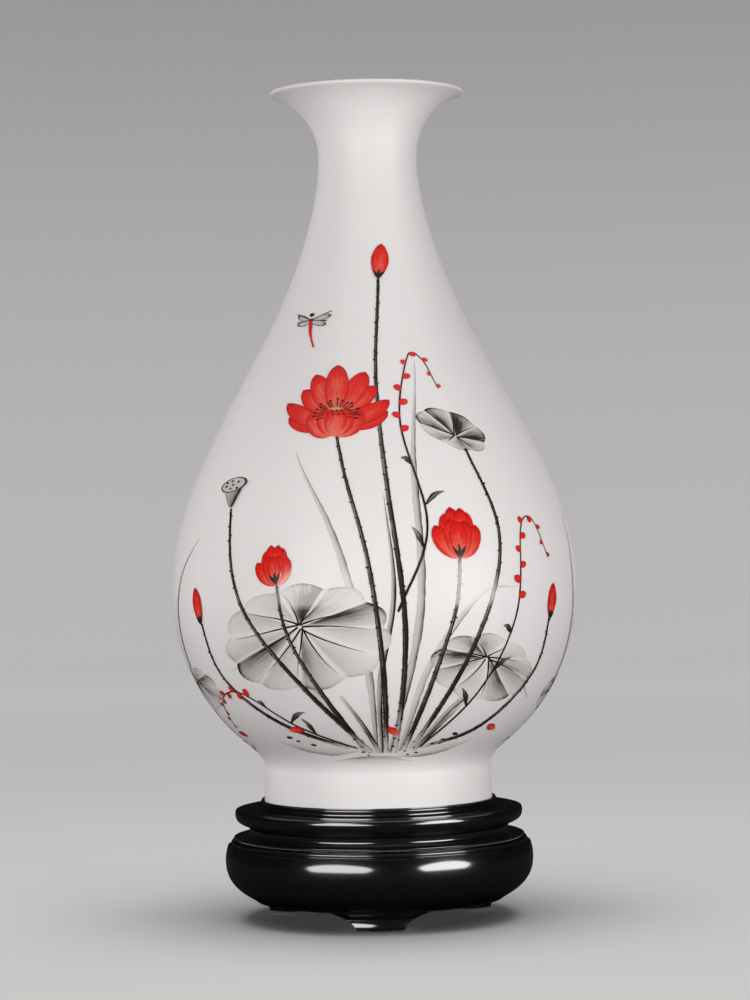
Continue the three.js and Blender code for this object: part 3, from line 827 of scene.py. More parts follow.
class Film:
    """Enamel patches that follow the glaze, each a little higher than the one before. Sizes are in mm."""

    def __init__(self, glaze, size, seed, storey=0):
        self.glaze = glaze
        self.size = size
        self.lift = size.lift + storey * size.film
        self.draw = random.Random(seed)
        self.bm = bmesh.new()
        self.brush = self.bm.verts.layers.float_vector.new("brush")
        self.load = self.bm.verts.layers.float_vector.new("load")

    def run(self, places):
        return Run(self.glaze, [Vector(self.glaze.spot(place)) for place in places])

    def near(self, spot, across, up):
        return Vector(self.glaze.moved(spot, across * MM, up * MM))

    def patch(self, along, across, put):
        """A grid warped by put, which turns a part of the way and a side into spot, brush and load."""
        grid = bmesh.ops.create_grid(self.bm, x_segments=along, y_segments=across, size=1)["verts"]
        for vert in grid:
            spot, brush, load = put((vert.co.x + 1) / 2, vert.co.y)
            vert.co = self.glaze.over(spot, self.lift)
            vert[self.brush] = brush
            vert[self.load] = load
        self.lift += self.size.layer
        return grid

    def stroke(self, run, widths, tones, dry=(0.1, 0.25), side=0.0):
        """A brush stroke along a run. Its widths, tones and dryness are spread evenly along it."""
        seed = self.draw.random() * 90

        def put(part, side_now):
            gone = part * run.length
            half = between(widths, part) * MM / 2
            for from_end in (gone, run.length - gone):
                if from_end < half:
                    half *= math.sqrt(max(1 - (1 - from_end / half) ** 2, 0.02))
            half *= 1 + 0.16 * wobble(gone / MM, seed + side_now, 0.35)
            faded = smooth(-1, 1, side_now * math.copysign(1, side)) * abs(side)
            wet = 0.14 * smooth(0.7, 1, abs(side_now)) * (1 - faded)
            tone = max(between(tones, part) * (1 - faded) + wet - 0.1 * (1 - abs(side_now)), 0)
            brush = (gone / MM / 16, side_now * half / MM / 0.5, seed)
            return run.beside(gone, half * side_now), brush, (tone, between(dry, part), 0)

        grid = min(self.size.stroke_grid, max(widths) * MM * 0.75)
        across = max(2, round(max(widths) * MM / self.size.stroke_grid))
        self.patch(max(3, round(run.length / grid)), across, put)

    def round_patch(
        self, centre, half_width, half_height, turn, shade, edge=None, hub=(0, 0), rings=2, sectors=12
    ):
        """A round patch that spreads from its hub to its edge. The hub is in shares of the half sizes."""
        level = self.lift
        seed = self.draw.random() * 90
        turning = Matrix.Rotation(turn, 2)

        def put(part, side_now):
            round_it = side_now * math.pi
            out = edge(round_it) if edge else 1
            rim = Vector((math.cos(round_it) * out, math.sin(round_it) * out))
            here = Vector(hub).lerp(rim, part)
            local = turning @ Vector((here.x * half_width, here.y * half_height)) * MM
            across = math.cos(round_it) * half_width / 2.2
            up = math.sin(round_it) * half_width / 2.2
            return self.glaze.moved(centre, *local), (part * 2.0, across, up + seed), shade(part, round_it)

        grid = self.patch(rings, sectors, put)
        bmesh.ops.remove_doubles(self.bm, verts=grid, dist=DOUBLE)
        self.lift = level

    def petal(self, centre, root, size, turn, curl, width, deep=0.0, pale_root=0.3, cover=1):
        """A pointed petal from its root, near the centre. The turn runs clockwise from upright."""
        seed = self.draw.random() * 90

        def put(part, side_now):
            lean = turn + curl * part
            if abs(curl) < 0.01:
                middle = Vector((math.sin(turn), math.cos(turn))) * part
            else:
                middle = Vector((math.cos(turn) - math.cos(lean), math.sin(lean) - math.sin(turn))) / curl
            bulge = swelling(part) / swelling(PETAL_WIDEST) * (1 + 0.08 * wobble(part * 3, seed + side_now))
            aside = Vector((-math.cos(lean), math.sin(lean))) * side_now * width / 2 * max(bulge, 0.02)
            local = (Vector(root) + (middle * size + aside)) * MM
            rim = smooth(0.74, 0.98, abs(side_now)) * 0.55
            tip = 0.5 * smooth(0.7, 1, part)
            depth = 0.5 + deep + max(rim, tip) - pale_root * (1 - part) ** 2 - 0.12 * (1 - abs(side_now))
            brush = (part * size / 9, side_now * width / 2 / 0.55, seed)
            return self.glaze.moved(centre, *local), brush, (depth, cover, 0)

        self.patch(max(6, round(size / 1.6)), 10, put)

    def berry(self, centre, half_width, half_height, turn=0.0):
        """A small round bud with a darker rim."""

        def shade(part, _):
            return 0.42 + 0.5 * smooth(0.55, 1, part), 1, 0

        self.round_patch(centre, half_width, half_height, turn, shade, rings=4, sectors=14)

    def dot(self, centre, half_width, half_height, turn=0.0):
        """A small oval touch of a full brush."""
        self.round_patch(centre, half_width, half_height, turn, lambda *_: (1.0, 0.05, 0), sectors=8)

    def done(self, name, material):
        bmesh.ops.solidify(self.bm, geom=self.bm.faces[:], thickness=self.size.film)
        return add_piece(mesh_of(self.bm, name, 60), material, "vase", "porcelain")


# Where things are painted: millimetres round the belly from the front, and over the vase's foot.
# A leaf has its place, half width, half height, turn in degrees, hub, count of lobes, and tone.
LEAVES = (
    ((-42, 96), 50, 29, 8, (0.04, 0.24), 11, 1.15),
    ((68, 78), 36, 19, -14, (-0.1, 0.3), 9, 1.0),
    ((59, 206), 21, 11, -24, (0.1, -0.35), 7, 1.25),
    ((-150, 66), 30, 14, 6, (0.1, 0.3), 9, 0.8),
    ((168, 60), 26, 12, -6, (0.0, 0.3), 9, 0.9),
)
# A stem runs through its places. What it carries stands at its last place.
STEMS = {
    "open": ((7, 33), (4, 80), (-4, 140), (-18, 185), (-25, 206)),
    "tall_bud": ((14, 33), (16, 100), (8, 180), (4, 240), (12, 290)),
    "half_open": ((21, 34), (34, 76), (44, 112), (47, 138)),
    "low_blossom": ((-8, 33), (-30, 62), (-48, 96), (-54, 126)),
    "young_leaf": ((27, 35), (58, 96), (74, 150), (64, 196)),
    "pod": ((-4, 33), (-44, 70), (-78, 116), (-92, 166)),
    "side_bud": ((-22, 36), (-70, 50), (-104, 74), (-112, 104)),
    "right_bud": ((36, 36), (78, 46), (108, 74), (112, 104)),
}
# The brush starts thin in the water, and is loaded again near the top
STEM_TONES = (0.2, 0.95, 1.0, 0.9, 0.85, 0.85, 0.95, 1.05)
SHORT_STEMS = (((2, 33), (-10, 50), (-22, 66)), ((30, 34), (44, 48), (56, 60)))
# A blade of a reed: its places, its widest place in shares of the usual one, and its tone
BLADES = (
    (((0, 33), (-6, 90), (-22, 150), (-52, 196)), 1.0, 0.55),
    (((10, 33), (24, 110), (26, 190), (40, 244)), 1.0, 0.6),
    (((18, 34), (30, 80), (58, 118), (84, 122)), 0.9, 0.45),
    (((-10, 33), (-30, 60), (-64, 84), (-96, 78)), 0.8, 0.42),
    (((30, 34), (52, 60), (88, 74), (116, 60)), 0.8, 0.7),
    (((4, 33), (2, 70), (10, 120), (6, 172)), 0.7, 0.8),
    (((-158, 34), (-152, 80), (-140, 124), (-118, 150)), 0.9, 0.6),
    (((-166, 34), (-172, 84), (-184, 120), (-206, 136)), 0.8, 0.48),
    (((160, 34), (154, 76), (146, 118), (150, 160)), 0.9, 0.6),
    (((170, 34), (184, 72), (198, 92), (214, 88)), 0.8, 0.46),
)
RIPPLES = (
    ((-88, 40), (-48, 34), (-6, 36)), ((8, 31), (46, 33), (84, 40)), ((-40, 28), (-4, 29), (34, 27)),
    ((-186, 38), (-158, 33), (-128, 37)), ((136, 37), (166, 33), (196, 39)),
)
# A spray of water pepper: its places up to the drooping tip
SPRAYS = (
    ((-16, 36), (-56, 48), (-92, 66), (-118, 62), (-130, 46)),
    ((34, 36), (64, 64), (82, 104), (90, 150), (102, 158), (112, 136)),
    ((12, 110), (30, 156), (20, 212), (34, 246), (48, 244), (56, 228)),
)
# Where its leaves stand and its berries begin and end, in shares of its length
SPRAY_LEAVES = (0.2, 0.33, 0.46)
FIRST_BERRY = 0.58
BERRY_STRETCH = 0.41
BERRIES = 10
# Millimetres from thorn to thorn of a stem
THORN_PITCH = 4.2
BUDS = (("tall_bud", 1.0, 8), ("side_bud", 0.95, -14), ("right_bud", 0.9, 10))
LOOSE_PETALS = (((-66, 46), 10, 70), ((16, 44), 9, -60), ((-134, 42), 9, 80), ((98, 44), 9, -75))
DRAGONFLY = (-70, 266)
# Small dark touches at the water's edge
LITTER = (
    (-70, 42), (-64, 40), (-52, 38), (44, 38), (52, 40), (60, 43), (-12, 34), (-8, 32), (26, 32), (33, 33),
    (-150, 36), (-146, 37), (172, 35), (178, 37),
)


def leaf(film, place, half_width, half_height, turn, hub, lobes, strength):
    """A lotus leaf in broad wet strokes that run out from its hub, each loaded on one side."""
    tones = [film.draw.choice((0.35, 0.6, 0.8, 1.0)) for _ in range(lobes)]
    sides = [film.draw.choice((0, 1)) for _ in range(lobes)]
    grid = film.size.grid / MM

    def edge(round_it):
        uneven = 0.05 * wobble(math.cos(round_it) * 3, lobes)
        return 0.93 + 0.09 * abs(math.sin(round_it * lobes / 2)) + uneven

    def shade(part, round_it):
        turns = (round_it / FULL_TURN % 1) * lobes
        lobe = int(turns) % lobes
        within = turns - int(turns)
        from_side = abs(sides[lobe] - within)
        tone = tones[lobe] * (1 - 0.72 * from_side ** 0.8)
        slit = smooth(0.0, 0.12, min(within, 1 - within) * (0.4 + part))
        heart = smooth(0.02, 0.22, part)
        rim = 1 - 0.3 * smooth(0.5, 0.9, part) + 0.45 * smooth(0.93, 1, part)
        return strength * tone * (0.2 + 0.8 * slit) * (0.4 + 0.6 * heart) * rim, 0.1 + 0.22 * part, 0

    rings = round(half_width / grid)
    sectors = round(math.pi * (half_width + half_height) / grid)
    centre = film.glaze.spot(place)
    film.round_patch(centre, half_width, half_height, math.radians(turn), shade, edge, hub, rings, sectors)


def veins(film, place, half_width, half_height, turn, hub, lobes, strength):
    """Thin dark veins between a leaf's lobes, drawn from the hub outwards."""
    turning = Matrix.Rotation(math.radians(turn), 2)
    centre = film.glaze.spot(place)
    level = film.lift
    for vein in range(lobes):
        round_it = vein * FULL_TURN / lobes
        rim = Vector((math.cos(round_it), math.sin(round_it))) * film.draw.uniform(0.72, 0.94)
        spots = []
        for part in (0.02, 0.35, 0.7, 1.0):
            here = Vector(hub).lerp(rim, part)
            here += Vector((-rim.y, rim.x)) * 0.05 * math.sin(part * 3 + vein)
            spots.append(film.near(centre, *(turning @ Vector((here.x * half_width, here.y * half_height)))))
        tones = (strength, 0.8 * strength, 0.5)
        film.stroke(Run(film.glaze, spots), (1.1, 0.8, 0.5, 0.2), tones, (0.1, 0.4))
    film.lift = level


# A petal's turn from upright, its length in shares of the reach, and its width or its curl
BACK_PETALS = ((-62, 0.86, 0.4), (58, 0.88, 0.4), (-34, 0.98, 0.44), (32, 1.0, 0.44), (-4, 1.06, 0.46))
SIDE_PETALS = ((-104, 0.86, 46), (100, 0.9, -50), (-84, 1.02, 40), (80, 0.98, -38))
FRONT_PETALS = ((-58, 0.66, 40), (54, 0.68, -36), (-22, 0.6, 14), (24, 0.62, -12), (2, 0.56, 0))
OUTER_PETALS = ((-30, 0.92, 0.36), (28, 0.94, 0.36), (-10, 1.02, 0.4), (12, 1.0, 0.4))
INNER_PETALS = ((-52, 0.86, 34), (50, 0.82, -36), (-20, 0.84, 22), (22, 0.8, -20), (1, 0.78, 0))
BUD_PETALS = ((-12, 0.92, 0.34), (12, 0.92, 0.34), (0, 1.0, 0.4))


def open_blossom(film, centre, reach):
    """Back petals as a fan and drooping side petals."""
    for turn, size, width in BACK_PETALS:
        curl = math.radians(-turn * 0.35)
        film.petal(centre, (turn * 0.02, 0), size * reach, math.radians(turn), curl, width * reach)
    for turn, size, curl in SIDE_PETALS:
        root = (math.copysign(reach * 0.12, turn), -reach * 0.18)
        film.petal(centre, root, size * reach, math.radians(turn), math.radians(curl), 0.36 * reach, 0.04)


def front_petals(film, centre, reach):
    """Petals that stand before the heart and cup it."""
    for turn, size, curl in FRONT_PETALS:
        root = (turn * 0.03, -reach * 0.46)
        lean = math.radians(turn)
        film.petal(centre, root, size * reach, lean, math.radians(curl), 0.44 * reach, -0.03, 0.42)


def half_open_blossom(film, centre, reach, turned=0):
    """Outer petals that close at their tips, and inner petals before them."""
    for turn, size, width in OUTER_PETALS:
        turn += turned
        curl = math.radians(-turn * 0.9)
        film.petal(centre, (0, 0), size * reach, math.radians(turn), curl, width * reach)
    root = (0, -0.06 * reach)
    for turn, size, curl in INNER_PETALS:
        lean = math.radians(turn + turned)
        film.petal(centre, root, size * reach, lean, math.radians(curl), 0.4 * reach, 0.02, 0.42)


def bud(film, centre, reach, turn):
    for lean, size, width in BUD_PETALS:
        curl = math.radians(-lean * 1.6)
        film.petal(centre, (0, 0), size * reach, math.radians(turn + lean), curl, width * reach, 0.04)


def carried(film, name, across=0.0, up=0.0):
    """The spot near the end of a stem."""
    return film.near(film.glaze.spot(STEMS[name][-1]), across, up)


def settings():
    return bpy.context.scene.painted_vase


class PAINTEDVASE_OT_stage(Operator):
    """Sets up the camera, the pale floor and backdrop, and the soft lamps"""

    bl_idname = "painted_vase.stage"
    bl_label = "Stage"

    def execute(self, context):
        size = settings().stage
        add_camera(context, size)
        floor = add_backdrop(size)
        add_world(context, size)
        for name, turn, rise, width, height, strength in SOFTBOXES:
            for part in SOFTBOX_PARTS:
                sizes = (width * part, height * part)
                lamp = add_soft_lamp(name, turn, rise, *sizes, size.softbox * strength, "ELLIPSE")
                set_lit(lamp, floor, "EXCLUDE")
        for *row, strength in SIDE_LAMPS:
            lamp = add_soft_lamp(*row, size.side * strength)
            lamp.visible_glossy = False
            set_lit(lamp, floor, "EXCLUDE")
        add_overhead_lamp("top_light", *TOP_LIGHT, size.top)
        lamp = add_overhead_lamp("floor_light", *FLOOR_LIGHT, size.floor_light)
        set_lit(lamp, floor, "INCLUDE")
        return {"FINISHED"}


# A lamp has its turn from the front and its rise over the aim, in degrees, its width and height in
# metres, and its share of the full strength. No polished surface mirrors the side lamps.
LAMP_DISTANCE = 1.45
LAMP_AIM = Vector((0, 0, 0.22))
SOFTBOXES = (
    ("left_softbox", -29.5, -1, 1.3, 0.62, 0.46),
    ("right_softbox", 48.5, -1, 1.05, 0.62, 0.6),
)
# Two sheets, one before the other, make a softbox fade towards its edge
SOFTBOX_PARTS = (1.0, 0.74)
SIDE_LAMPS = (
    ("left_lamp", -105, 8, 1.0, 1.2, 1.08),
    ("right_lamp", 145, 8, 1.0, 1.2, 0.7),
    ("back_lamp", -165, 8, 1.0, 1.2, 1.0),
)
# A lamp overhead has its place and its width
TOP_LIGHT = (Vector((0, 0.1, 2.3)), 2.2)
FLOOR_LIGHT = (Vector((0, -0.2, 2.5)), 2.6)


def add_camera(context, size):
    camera = bpy.data.objects.new("camera", bpy.data.cameras.new("camera"))
    camera.location = (size.aside, -size.distance, size.eye_height)
    camera.rotation_euler = (math.pi / 2, size.roll, 0)
    camera.data.lens = size.lens
    context.scene.collection.objects.link(camera)
    context.scene.camera = camera
    context.scene.view_settings.view_transform = "Standard"


def add_backdrop(size):
    """A round floor that curves up into a wall, so that the ground is even from all sides."""
    flat, curve, top = 2.5, 1.3, 2.8
    foot = arc((flat, curve), curve, DOWN, LEVEL, 2 * CURVE_STEPS)
    bm = spun([(0, 0), (flat, 0), *foot[1:], (flat + curve, top)], MIDDLE_ROUND_STEPS)
    if bm.faces[0].normal.z < 0:
        bmesh.ops.reverse_faces(bm, faces=bm.faces)
    floor = bpy.data.objects.new("floor", mesh_of(bm, "floor"))
    floor.data.materials.append(pale_ground(size))
    bpy.context.scene.collection.objects.link(floor)
    return floor


def pale_ground(size):
    """Pale paper that glows where the lamps hardly reach, and mirrors as a dim studio."""
    finish = Finish("pale_ground")
    place = finish.place()
    tint = finish.grains(place, 1.4, 3.0)
    paper = finish.mixed(tint * 0.3, size.floor, shaded(size.floor, 0.97))
    far = finish.node("ShaderNodeVectorMath", {"operation": "LENGTH"}, {0: place}, "Value")
    up = finish.parts(place)[2].ramped(0.2, 1.6)
    glow = finish.mixed(far.ramped(0.6, 2.6) * (1 - up * 0.5), shaded(size.floor, 0.15), size.floor)
    lit = {"base_color": paper, "roughness": 0.85, "specular_ior_level": 0.2, "emission_color": glow}
    pale = finish.shader(**lit, emission_strength=size.glow)
    dark = finish.shader(base_color=size.dark, roughness=1.0, specular_ior_level=0.0)
    seen = finish.node("ShaderNodeLightPath", {}, {}, "Is Camera Ray")
    return finish.closed(finish.node("ShaderNodeMixShader", {}, {0: seen, 1: dark, 2: pale}))


def add_world(context, size):
    world = bpy.data.worlds.new("studio")
    world.use_nodes = True
    ground = world.node_tree.nodes["Background"]
    ground.inputs["Color"].default_value = (1, 0.99, 0.985, 1)
    ground.inputs["Strength"].default_value = size.fill
    context.scene.world = world


def add_lamp(name, location, aim, width, height, radiance, shape="RECTANGLE"):
    lamp = bpy.data.lights.new(name, "AREA")
    lamp.shape = shape
    lamp.size, lamp.size_y = width, height
    lamp.energy = radiance * math.pi * width * height * (math.pi / 4 if shape == "ELLIPSE" else 1)
    lamp.color = (1, 0.985, 0.975)
    holder = bpy.data.objects.new(name, lamp)
    holder.location = location
    holder.rotation_euler = (aim - location).to_track_quat("-Z", "Y").to_euler()
    holder.visible_camera = False
    bpy.context.scene.collection.objects.link(holder)
    return holder


def set_lit(lamp, floor, state):
    """A lamp lights the floor alone, or all but the floor."""
    lit = bpy.data.collections.new(lamp.name)
    lit.objects.link(floor)
    lit.collection_objects[0].light_linking.link_state = state
    lamp.light_linking.receiver_collection = lit


def add_overhead_lamp(name, place, width, radiance):
    return add_lamp(name, place, Vector((0, 0, 0)), width, width, radiance)


def add_soft_lamp(name, turn, rise, width, height, radiance, shape="RECTANGLE"):
    turn, rise = math.radians(turn), math.radians(rise)
    out = Vector((math.sin(turn) * math.cos(rise), -math.cos(turn) * math.cos(rise), math.sin(rise)))
    return add_lamp(name, LAMP_AIM + out * LAMP_DISTANCE, LAMP_AIM, width, height, radiance, shape)


class PAINTEDVASE_OT_vase(Operator):
    """Turns the porcelain vase"""

    bl_idname = "painted_vase.vase"
    bl_label = "Vase"

    def execute(self, context):
        low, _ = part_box("vase_body")
        outline = raised(vase_outline(settings().vase), low.z)
        mesh = mesh_of(spun(outline), "vase", 50)
        add_piece(mesh, porcelain(settings().finish), "vase", "porcelain", "vase_body")
        return {"FINISHED"}


def new_film(seed, storey):
    own = settings()
    return Film(Glaze(own.vase), own.painting, seed, storey)


class PAINTEDVASE_OT_washes(Operator):
    """Paints the pale washes: reeds, ripples and leaves, with the leaves' veins"""

    bl_idname = "painted_vase.washes"
    bl_label = "Washes"

    def execute(self, context):
        look = settings().finish
        usual = settings().painting.blade / MM
        reeds = new_film(11, 0)
        for places in RIPPLES:
            side = reeds.draw.choice((-0.8, 0.8))
            reeds.stroke(reeds.run(places), (1.5, 5.5, 7, 2), (0.15, 0.5, 0.42, 0.1), (0.25, 0.45), side)
        for places, wide, tone in BLADES:
            widths = (1.4, usual * wide, usual * wide * 0.8, 0.3)
            reeds.stroke(reeds.run(places), widths, (tone + 0.15, tone, tone, tone * 0.8), (0.12, 0.4), 0.55)
        reeds.done("painting_reeds", ink(look))
        leaves = new_film(7, 3)
        for row in LEAVES:
            leaf(leaves, *row)
        leaves.done("painting_leaves", ink(look))
        lines = new_film(8, 4)
        for row in LEAVES:
            veins(lines, *row)
        lines.done("painting_veins", ink(look))
        return {"FINISHED"}


class PAINTEDVASE_OT_stems(Operator):
    """Paints the dark stems with their thorns, and the water pepper's stalks and leaves"""

    bl_idname = "painted_vase.stems"
    bl_label = "Stems"

    def execute(self, context):
        look = settings().finish
        width = settings().painting.stem / MM
        stems = new_film(21, 6)
        thorns = new_film(22, 10)
        for places in SHORT_STEMS:
            widths = (width * 1.1, width, width * 0.5)
            stems.stroke(stems.run(places), widths, (0.3, 0.9, 0.7, 0.3), (0.2, 0.4), 0.3)
        for places in STEMS.values():
            run = stems.run(places)
            widths = (width, width * 1.2, width, width * 0.8, width * 0.6)
            stems.stroke(run, widths, STEM_TONES, (0.25, 0.2, 0.3), 0.3)
            self.thorns(thorns, run, width)
        for places in SPRAYS:
            run = stems.run(places)
            stems.stroke(run, (1.4, 1.2, 0.9, 0.4), (0.9, 0.95, 1.0), (0.15, 0.3))
            for copy, part in enumerate(SPRAY_LEAVES):
                spot, _ = run.at(part * run.length)
                out = math.copysign(9, copy % 2 - 0.5) + 3
                tip = stems.near(spot, out, 12 - 4 * copy)
                middle = stems.near(spot, out * 0.5, 8 - 2 * copy)
                leaf_run = Run(stems.glaze, [spot, middle, tip])
                stems.stroke(leaf_run, (0.6, 3.2, 0.3), (0.95, 0.75, 0.6), (0.1, 0.4))
        stems.done("painting_stems", ink(look))
        for place in LITTER:
            size = thorns.draw.uniform(0.5, 1.2)
            thorns.dot(thorns.glaze.spot(place), size * 1.7, size, thorns.draw.uniform(-0.4, 0.4))
        thorns.done("painting_thorns", ink(look))
        return {"FINISHED"}

    def thorns(self, film, run, width):
        """Short touches on changing sides of a stem, each on its edge."""
        count = round(run.length / THORN_PITCH / MM)
        for copy in range(count):
            gone = (copy + film.draw.uniform(0.1, 0.9)) * run.length / count
            _, ahead = run.at(gone)
            aside = (0.46 - 0.16 * gone / run.length) * width * (1 if copy % 2 else -1)
            size = film.draw.uniform(0.35, 0.7)
            square = math.atan2(ahead.y, ahead.x) + UPRIGHT + film.draw.uniform(-0.5, 0.5)
            film.dot(run.beside(gone, aside * MM), size * 1.5, size * 0.8, square)


class PAINTEDVASE_OT_blossoms(Operator):
    """Paints the scarlet blossoms, buds, loose petals and berries"""

    bl_idname = "painted_vase.blossoms"
    bl_label = "Blossoms"

    def execute(self, context):
        size, look = settings().painting, settings().finish
        reach, half_reach, bud_reach = size.blossom / MM, size.half_blossom / MM, size.bud / MM
        back = new_film(31, 12)
        heart_spot = carried(back, "open", -1, 10)
        open_blossom(back, heart_spot, reach)
        back.done("painting_blossom_back", scarlet(look))
        heart = new_film(32, 16)
        heart.round_patch(heart_spot, reach * 0.26, reach * 0.15, 0, heart_shade, rings=6, sectors=36)
        heart.done("painting_heart", ochre(look))
        front = new_film(33, 18)
        front_petals(front, heart_spot, reach)
        front.done("painting_blossom_front", scarlet(look))
        half = new_film(34, 12)
        half_open_blossom(half, carried(half, "half_open", 0, 1), half_reach)
        half_open_blossom(half, carried(half, "low_blossom", 0, 0), half_reach * 0.78, -10)
        half.done("painting_blossom_half", scarlet(look))
        buds = new_film(35, 12)
        for name, part, turn in BUDS:
            bud(buds, carried(buds, name), bud_reach * part, turn)
        for place, long, turn in LOOSE_PETALS:
            buds.petal(buds.glaze.spot(place), (0, 0), long, math.radians(turn), 0.5, long * 0.5)
        for places in SPRAYS:
            self.berries(buds, buds.run(places), size.berry / MM)
        self.insect(buds)
        buds.done("painting_buds", scarlet(look))
        return {"FINISHED"}

    def berries(self, film, run, largest):
        """Oval buds along the drooping end of a spray, smaller towards its tip."""
        for copy in range(BERRIES):
            part = FIRST_BERRY + BERRY_STRETCH * copy / (BERRIES - 1)
            size = largest / 2 * (1 - 0.5 * copy / BERRIES) * film.draw.uniform(0.85, 1.1)
            _, ahead = run.at(part * run.length)
            aside = size * 0.75 * (1 if copy % 2 else -1)
            turn = math.atan2(ahead.y, ahead.x) + 0.6 * aside
            film.berry(run.beside(part * run.length, aside * MM), size, size * 0.78, turn)

    def insect(self, film):
        """The dragonfly's body."""
        spot = film.glaze.spot(DRAGONFLY)
        run = Run(film.glaze, [film.near(spot, *by) for by in ((0, 3), (0, 0), (2, -7), (7, -16))])
        film.stroke(run, (2.6, 2.2, 1.1, 0.9), (0.6, 0.7, 0.9), (1, 1))


def heart_shade(part, _):
    return 0.1 + 0.4 * smooth(0.75, 1, part), 1, 0


class PAINTEDVASE_OT_details(Operator):
    """Paints the stamens, the sepals, the seed pod, and the dragonfly's head and wings"""

    bl_idname = "painted_vase.details"
    bl_label = "Painted details"

    def execute(self, context):
        look = settings().finish
        reach = settings().painting.blossom / MM
        lines = new_film(41, 22)
        self.stamens(lines, carried(lines, "open", -1, 10), reach)
        self.sepals(lines)
        self.pod(lines, carried(lines, "pod"))
        insect = lines.glaze.spot(DRAGONFLY)
        lines.dot(lines.near(insect, -0.4, 4.8), 1.5, 1.2)
        for turn, size in INSECT_WINGS:
            out = pointing(turn) * size
            spots = [lines.near(insect, out.x * part, 1.6 + out.y * part + part) for part in (0, 0.5, 1)]
            lines.stroke(Run(lines.glaze, spots), (0.5, 0.45, 0.6), (0.9, 0.8, 0.9), (0.05, 0.3))
        lines.done("painting_details", ink(look))
        wings = new_film(42, 10)
        for turn, size in INSECT_WINGS:
            lean = math.radians(turn)
            wings.petal(wings.glaze.spot(DRAGONFLY), (0, 1), size, lean, 0.12, 3.6, -0.1, 0.1, WING_DRYNESS)
        wings.done("painting_wings", ink(look))
        return {"FINISHED"}

    def stamens(self, film, centre, reach):
        """A fringe of stamens round the heart, and the heart's seeds."""
        for copy in range(STAMENS):
            out = pointing(-112 + 14 * copy + film.draw.uniform(-4, 4))
            out = Vector((out.x, out.y * 0.7)) * reach
            far = out * film.draw.uniform(0.36, 0.46)
            ends = [film.near(centre, *(out * 0.22)), film.near(centre, *far)]
            film.stroke(Run(film.glaze, ends), (0.45, 0.5), (1.0, 1.0), (0.0, 0.1))
            film.dot(ends[1], 0.75, 0.6)
        for across, up in HEART_SEEDS:
            film.dot(film.near(centre, across * reach, up * reach), 0.6, 0.5)

    def sepals(self, film):
        """Short dark strokes where a stem meets its bud."""
        for name, part, turn in (*BUDS, ("half_open", 1.3, 0), ("low_blossom", 1.1, -10)):
            foot = carried(film, name)
            for lean in (-34, 0, 32):
                out = pointing(turn + lean) * 5.5 * part
                run = Run(film.glaze, [film.near(foot, *(out * far)) for far in (-0.15, 0.6, 1)])
                film.stroke(run, (1.2, 1.7, 0.3), (1.0, 0.9, 0.8), (0.05, 0.2))

    def pod(self, film, foot):
        """A seed pod: a flaring side, an oval top with seeds, and a rim."""
        up = Vector((-2.5, 13))
        run = Run(film.glaze, [film.near(foot, *(up * part)) for part in (0, 0.5, 1)])
        film.stroke(run, (2.5, 9, 19), (0.85, 0.7, 0.6), (0.2, 0.3), 0.35)
        top = film.near(foot, *up)
        film.round_patch(top, 10, 4.2, 0.19, pod_shade, rings=6, sectors=40)
        for copy in range(POD_SEEDS):
            turn = copy * FULL_TURN / POD_SEEDS
            spread = 0.62 if copy else 0
            seed = film.near(top, math.cos(turn) * 9.5 * spread, math.sin(turn) * 3.6 * spread)
            film.dot(seed, 1.05, 0.75)


# A wing's turn in degrees, clockwise from upright, and its length
INSECT_WINGS = ((-74, 12), (70, 12.5), (-104, 10), (100, 10.5))
STAMENS = 17
# Seeds on the open blossom's heart, in shares of the petals' reach
HEART_SEEDS = ((-0.15, 0.02), (-0.07, 0.07), (0.02, 0.08), (0.11, 0.06), (0.16, 0), (0.05, 0), (-0.05, 0))
POD_SEEDS = 7
# In ink, what covers a petal is how dry the brush is
WING_DRYNESS = 0.1


def pod_shade(part, _):
    return 0.3 + 0.75 * smooth(0.84, 0.97, part), 0.1, 0


# The stand

def board_outline(size):
    low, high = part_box("seat_board")
    bottom = low.z + size.plug_depth
    ledge = high.z - size.rim_height
    shoulder = ledge - size.ledge_step
    widest = (high.x, shoulder - size.board_bulge)
    corner = (high.x - 0.25 * MM, shoulder - 0.75 * size.board_corner)
    waist_radius = high.x - size.waist_inset
    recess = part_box("seat_felt")[1].x + FELT_ROOM
    rim_radius = recess + size.rim_width
    ledge_radius = rim_radius + size.ledge_width
    bead = (size.rim_height - size.quirk) / size.rim_beads
    plug = size.bore_radius - PLAY
    groove = rim_radius - size.quirk
    beads = []
    for copy in range(size.rim_beads):
        foot = ledge + copy * bead
        beads += bend((groove, foot), LEVEL, 0.34, (groove, foot + bead), BACK, 0.34, SHORT_CURVE_STEPS)
    return [
        (0, low.z), (plug, low.z), (plug, bottom),
        *bend((waist_radius, bottom), math.radians(30), 0.42, widest, UPRIGHT, 0.5),
        *bend(widest, UPRIGHT, 0.35, corner, math.radians(101), 0.35, SHORT_CURVE_STEPS)[1:],
        *bend(corner, math.radians(101), 0.45, (corner[0] - size.board_corner, shoulder), BACK, 0.45)[1:],
        (ledge_radius, shoulder), (ledge_radius, ledge), *beads, (groove, high.z), (recess, high.z),
        (recess, high.z - size.recess_depth), (0, high.z - size.recess_depth),
    ]


